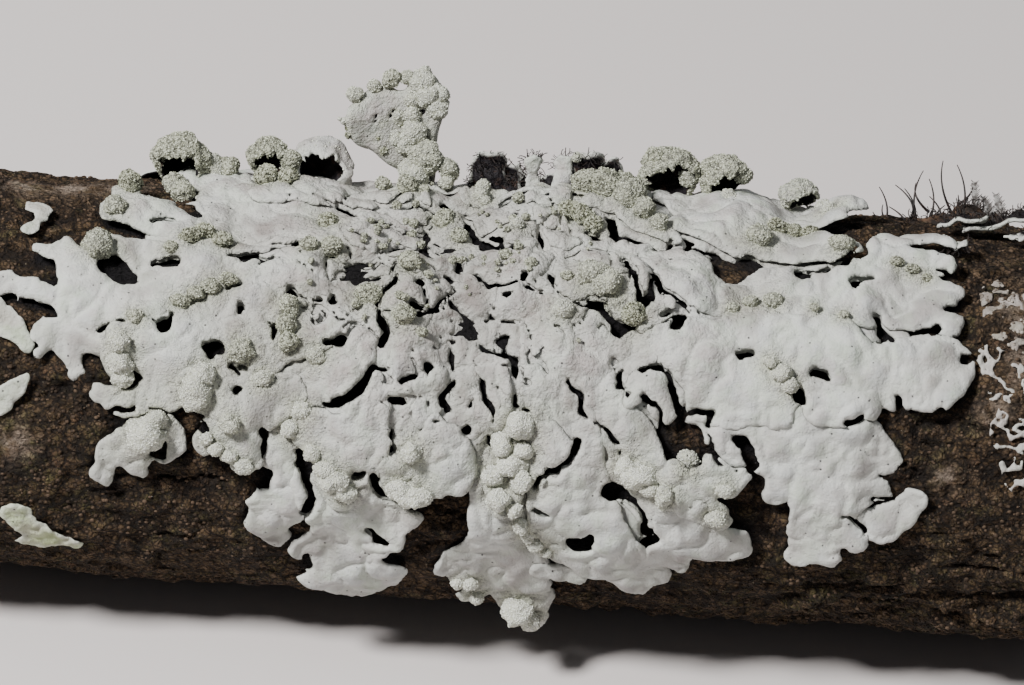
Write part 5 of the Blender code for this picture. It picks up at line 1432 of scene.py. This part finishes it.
# the tuft of long root hairs at the right, on a brown mound, with a silvery feather beside it:
# hairs and feather stems are root and tip (along the twig, up), then how far they bow sideways;
# mounds are a place (along, up, towards the camera) and half widths (along, up)
tuft = {
    "mounds": [
        (26.4, 12.4, 1.0, 1.7, 1.0), (27.9, 12.9, 0.6, 1.3, 1.1), (25.0, 12.2, 0.8, 1.1, 0.7),
        (29.4, 12.7, 0.5, 1.1, 0.8)],
    "hairs": [
        ((22.6, 12.2), (22.2, 14.8), 0.35), ((23.2, 12.2), (22.5, 13.7), -0.3),
        ((24.4, 12.4), (23.8, 14.8), 0.4), ((24.8, 12.5), (24.9, 16.0), -0.45),
        ((25.3, 12.5), (25.3, 15.5), 0.35), ((26.1, 12.8), (25.4, 14.4), 0.3),
        ((27.0, 13.2), (26.1, 16.7), -0.4), ((27.5, 13.3), (27.0, 16.5), 0.3),
        ((22.1, 12.3), (21.9, 13.2), 0.1), ((24.0, 12.4), (22.9, 13.6), 0.3),
        ((26.6, 13.0), (27.2, 14.6), 0.2), ((25.8, 12.8), (26.4, 13.9), -0.2),
        ((24.3, 12.9), (23.2, 15.0), 0.5), ((25.4, 13.4), (24.5, 15.2), -0.4),
        ((27.2, 14.0), (28.0, 15.4), 0.3)],
    "feathers": [
        ((28.9, 13.2), (28.2, 15.5), -0.25), ((29.8, 13.0), (29.5, 14.8), 0.15),
        ((29.1, 13.0), (28.7, 14.6), 0.2)],
    "thickness": 0.10, "sides": 6, "rings": 14, "towards": 0.4, "leanBack": 0.6, "moundDepth": 0.9,
    "stem": 0.05, "barbs": 18, "barbLength": 0.55, "barbThickness": 0.07,
}


def bowed(share, start, middle, end):
    # a point of the line from start to end that middle pulls to its side
    return (1 - share) ** 2 * start + 2 * share * (1 - share) * middle + share ** 2 * end


def strand(start, middle, end, thickness):
    # a hair: a thin tube along a bowed line, tapering to its tip
    rings, sides = tuft["rings"], tuft["sides"]
    share = np.linspace(0, 1, rings)[:, None]
    line = bowed(share, start, middle, end)
    ahead = np.gradient(line, axis=0)
    ahead = ahead / np.linalg.norm(ahead, axis=1)[:, None]
    first = np.cross(ahead, [0.3, 1.0, 0.2])
    first = first / np.linalg.norm(first, axis=1)[:, None]
    second = np.cross(ahead, first)
    turn = np.arange(sides) * 2 * math.pi / sides
    reach = (thickness * (1 - 0.7 * share))[:, :, None]
    cosine, sine = np.cos(turn)[None, :, None], np.sin(turn)[None, :, None]
    points = line[:, None, :] + reach * (cosine * first[:, None, :] + sine * second[:, None, :])
    faces = []
    for ring in range(rings - 1):
        a = ring * sides
        for k in range(sides):
            n = (k + 1) % sides
            faces.append([a + k, a + n, a + sides + n, a + sides + k])
    last = (rings - 1) * sides
    faces += [list(range(sides))[::-1], list(range(last, last + sides))]
    return shell(points.reshape(-1, 3), {}, faces)


def tuftLine(root, tip, bow):
    # the three points that bow a strand of the tuft
    start, end = viewPoint(*root, tuft["towards"]), viewPoint(*tip, tuft["towards"] - tuft["leanBack"])
    halfway = ((root[0] + tip[0]) / 2 + bow, (root[1] + tip[1]) / 2)
    return start, 2 * viewPoint(*halfway, tuft["towards"] + 0.2) - (start + end) / 2, end


tuftSkin = plainMaterial("tuft_hairs", (0.008, 0.006, 0.006), (0.030, 0.020, 0.018), 1.5, 0.5)
moundSkin = plainMaterial("tuft_mound", (0.012, 0.008, 0.006), (0.085, 0.048, 0.028), 1.4, 0.85, 0.25)
featherSkin = plainMaterial("feather_threads", (0.10, 0.09, 0.085), (0.36, 0.35, 0.34), 3.0, 0.7)
mound = joined([powderBall(viewPoint(*spot), np.diag([wide, tuft["moundDepth"], high]), 1.0, spot[0])
                for *spot, wide, high in tuft["mounds"]])
mound["values"]["hair"] = np.full(len(mound["points"]), 0.25)
mound = handOver(pieceFrom("tuft_mound", mound, moundSkin), "rhizines")
addHairs("tuft_felt", mound, "mound")
longHairs = [strand(*tuftLine(*hair), tuft["thickness"]) for hair in tuft["hairs"]]
handOver(pieceFrom("tuft_hairs", joined(longHairs), tuftSkin), "rhizines")
threads, lifted = [], viewTurn(0, 1, 0)
for index, stem in enumerate(tuft["feathers"]):
    line = tuftLine(*stem)
    threads.append(strand(*line, tuft["stem"]))
    for step in range(tuft["barbs"]):
        share = (step + 1) / (tuft["barbs"] + 1)
        foot = bowed(share, *line)
        length = tuft["barbLength"] * (1 - 0.6 * share) * (1 + 0.3 * math.sin(step * 2.3 + index))
        for side in (-1, 1):
            out = viewTurn(side, 0.75, 0.25 * math.sin(step * 1.7)) * length
            end = foot + out + lifted * 0.15 * length
            threads.append(strand(foot, foot + out * 0.6, end, tuft["barbThickness"]))
handOver(pieceFrom("tuft_feather", joined(threads), featherSkin), "rhizines")
print("tuft made")

# crusts and scraps: skin, slot, height above the bark and arms
crustLobes = {
    "crust_grey": ("grey_crust", "crust", 0.12, [
        [(29.4, 9.6, 1.0), (30.6, 7.6, 2.0), (32.6, 6.4, 2.2)], [(32.5, 9.4, 1.2), (34.4, 8.0, 1.0)]]),
    "crust_white": ("crust", "crust", 0.24, [
        [(29.2, 4.6, 0.8), (30.8, 2.4, 1.6), (31.2, -0.2, 1.6), (31.6, -2.8, 0.9)],
        [(32, 1.2, 1.2), (34, 0.4, 0.9)]]),
    "lichen_scrap_lobed": ("scraps", "green_lichen", 0.5, [
        [(-30.6, 13, 0.6), (-29.9, 12.2, 0.5), (-30, 11.2, 0.5), (-30.6, 10.4, 0.6)]]),
    "lichen_scrap_left": ("scraps", "green_lichen", 0.45, [
        [(-32.6, 4, 0.9), (-31.2, 2.8, 0.7), (-30.2, 1.8, 0.6)]]),
    "lichen_scrap_left_low": ("scraps", "green_lichen", 0.45, [
        [(-33, -2.6, 0.9), (-31.4, -2, 0.9), (-30.2, -0.6, 0.5)]]),
    "lichen_scrap_green": ("green_lichen", "green_lichen", 0.45, [
        [(-30.4, -10.6, 0.9), (-29.6, -11.8, 1.0), (-28.4, -12.8, 0.9), (-26.6, -13.6, 0.6)],
        [(-29.6, -13.6, 0.6), (-28, -13.6, 0.7)]]),
}
crustSpec = {
    "step": 0.1, "edgeRoom": 2.2, "lastX": 35.9, "thickness": 0.24, "ragged": 0.3, "raggedSize": 1.1,
    "bumps": 0.12, "bumpSize": 0.5, "lace": 0.23, "laceSize": 0.7, "paleEdge": 0.15,
}


def crustShell(node, lift, arms):
    spec = crustSpec
    chain = np.array([point for arm in arms for point in arm])
    low, high = chain[:, :2].min(0) - spec["edgeRoom"], chain[:, :2].max(0) + spec["edgeRoom"]
    high[0] = min(high[0], spec["lastX"])
    xs, ss = np.meshgrid(*(np.arange(low[axis], high[axis], spec["step"]) for axis in range(2)))
    field = lobeField(xs, ss, arms) + spec["ragged"] * ripple(xs, ss, 0 * xs + 3, spec["raggedSize"], 3)
    if node == "crust_white":     # a lace of winding threads
        winding = np.abs(ripple(xs, ss, 0 * xs + 8, spec["laceSize"], 2))
        field = np.maximum(field, 0.5 * (winding - spec["lace"]))
    if node == "crust_grey":      # small plates with cracks between them
        field = np.maximum(field, 0.10 - 0.5 * np.abs(ripple(xs, ss, 0 * xs + 8, 1.1, 2)))

    def middle(x, s, edge):
        return lift + spec["bumps"] * ripple(x, s, 0 * x + 4, spec["bumpSize"], 2)

    return sheetShell(xs, ss, field, middle, spec["thickness"], onBark,
                      age=0.2, powder=0.0, speck=0.4, grain=1.0)


for node, (skin, slotName, lift, arms) in crustLobes.items():
    part = crustShell(node, lift, arms)
    if slotName == "crust":
        part["values"]["edge"] = crustSpec["paleEdge"] * part["values"]["edge"]
    piece = handOver(pieceFrom(node + "_leaf", part, skins[skin]), slotName, node)
    if node == "crust_grey":
        addGrains("crust_grey_grains", piece, "crust", crustGrainSkin, "crust")
print("crusts made")

# camera at the angle of the view, looking 40 degrees down with a small roll
viewSpec = {
    "roll": math.atan(0.0688), "lens": 300.0, "sensor": 36.0, "width": 64.0, "ahead": 5.0, "aimUp": 3.606,
}
towards = Vector((0, -math.cos(faceAngle), math.sin(faceAngle)))
upward = Vector((0, math.sin(faceAngle), math.cos(faceAngle)))
right = Vector((1, 0, 0)) * math.cos(viewSpec["roll"]) + upward * math.sin(viewSpec["roll"])
cameraUp = towards.cross(right)
camera = bpy.data.objects.new("camera", bpy.data.cameras.new("camera"))
bpy.context.scene.collection.objects.link(camera)
camera.data.lens = viewSpec["lens"]
camera.data.sensor_width = viewSpec["sensor"]
distance = viewSpec["width"] * viewSpec["lens"] / viewSpec["sensor"] + viewSpec["ahead"]
aim = Vector((0, 0, axisHeight(0))) + cameraUp * viewSpec["aimUp"]
camera.matrix_world = Matrix.LocRotScale(
    (aim + towards * distance) * mm, Matrix((right, cameraUp, towards)).transposed().to_quaternion(), None)
camera.data.clip_start = 0.01
bpy.context.scene.camera = camera

# soft studio light: place, size (metres), power and colour of each lamp
lampSpec = {
    "key": ((-0.27, -0.15, 0.42), 0.10, 5.2, (1.0, 0.985, 0.965)),
    "top": ((0.16, -0.06, 0.50), 0.30, 0.5, (0.95, 0.98, 1.0)),
}
for name, (spot, size, power, colour) in lampSpec.items():
    lamp = bpy.data.objects.new(name, bpy.data.lights.new(name, "AREA"))
    bpy.context.scene.collection.objects.link(lamp)
    lamp.data.shape = "DISK"
    lamp.data.size, lamp.data.energy, lamp.data.color = size, power, colour
    lamp.location = spot
    lamp.rotation_euler = (Vector((0, 0, 0.012)) - Vector(spot)).to_track_quat("-Z", "Y").to_euler()
world = bpy.data.worlds.new("studio")
world.use_nodes = True
sky = world.node_tree.nodes["Background"].inputs
sky["Color"].default_value, sky["Strength"].default_value = (0.75, 0.76, 0.80, 1), 0.11
bpy.context.scene.world = world

floorSpec = {"half": 3.0, "below": 0.0002, "colour": (0.62, 0.58, 0.57, 1), "roughness": 0.9}
corners = [(x * floorSpec["half"], y * floorSpec["half"], -floorSpec["below"])
           for x, y in ((-1, -1), (1, -1), (1, 1), (-1, 1))]
floorMesh = bpy.data.meshes.new("floor")
floorMesh.from_pydata(corners, [], [(0, 1, 2, 3)])
floor = bpy.data.objects.new("floor", floorMesh)
bpy.context.scene.collection.objects.link(floor)
floorSkin = Shader("floor")
floorSkin.skin.inputs["Base Color"].default_value = floorSpec["colour"]
floorSkin.skin.inputs["Roughness"].default_value = floorSpec["roughness"]
floorMesh.materials.append(floorSkin.material)
print("stage made")
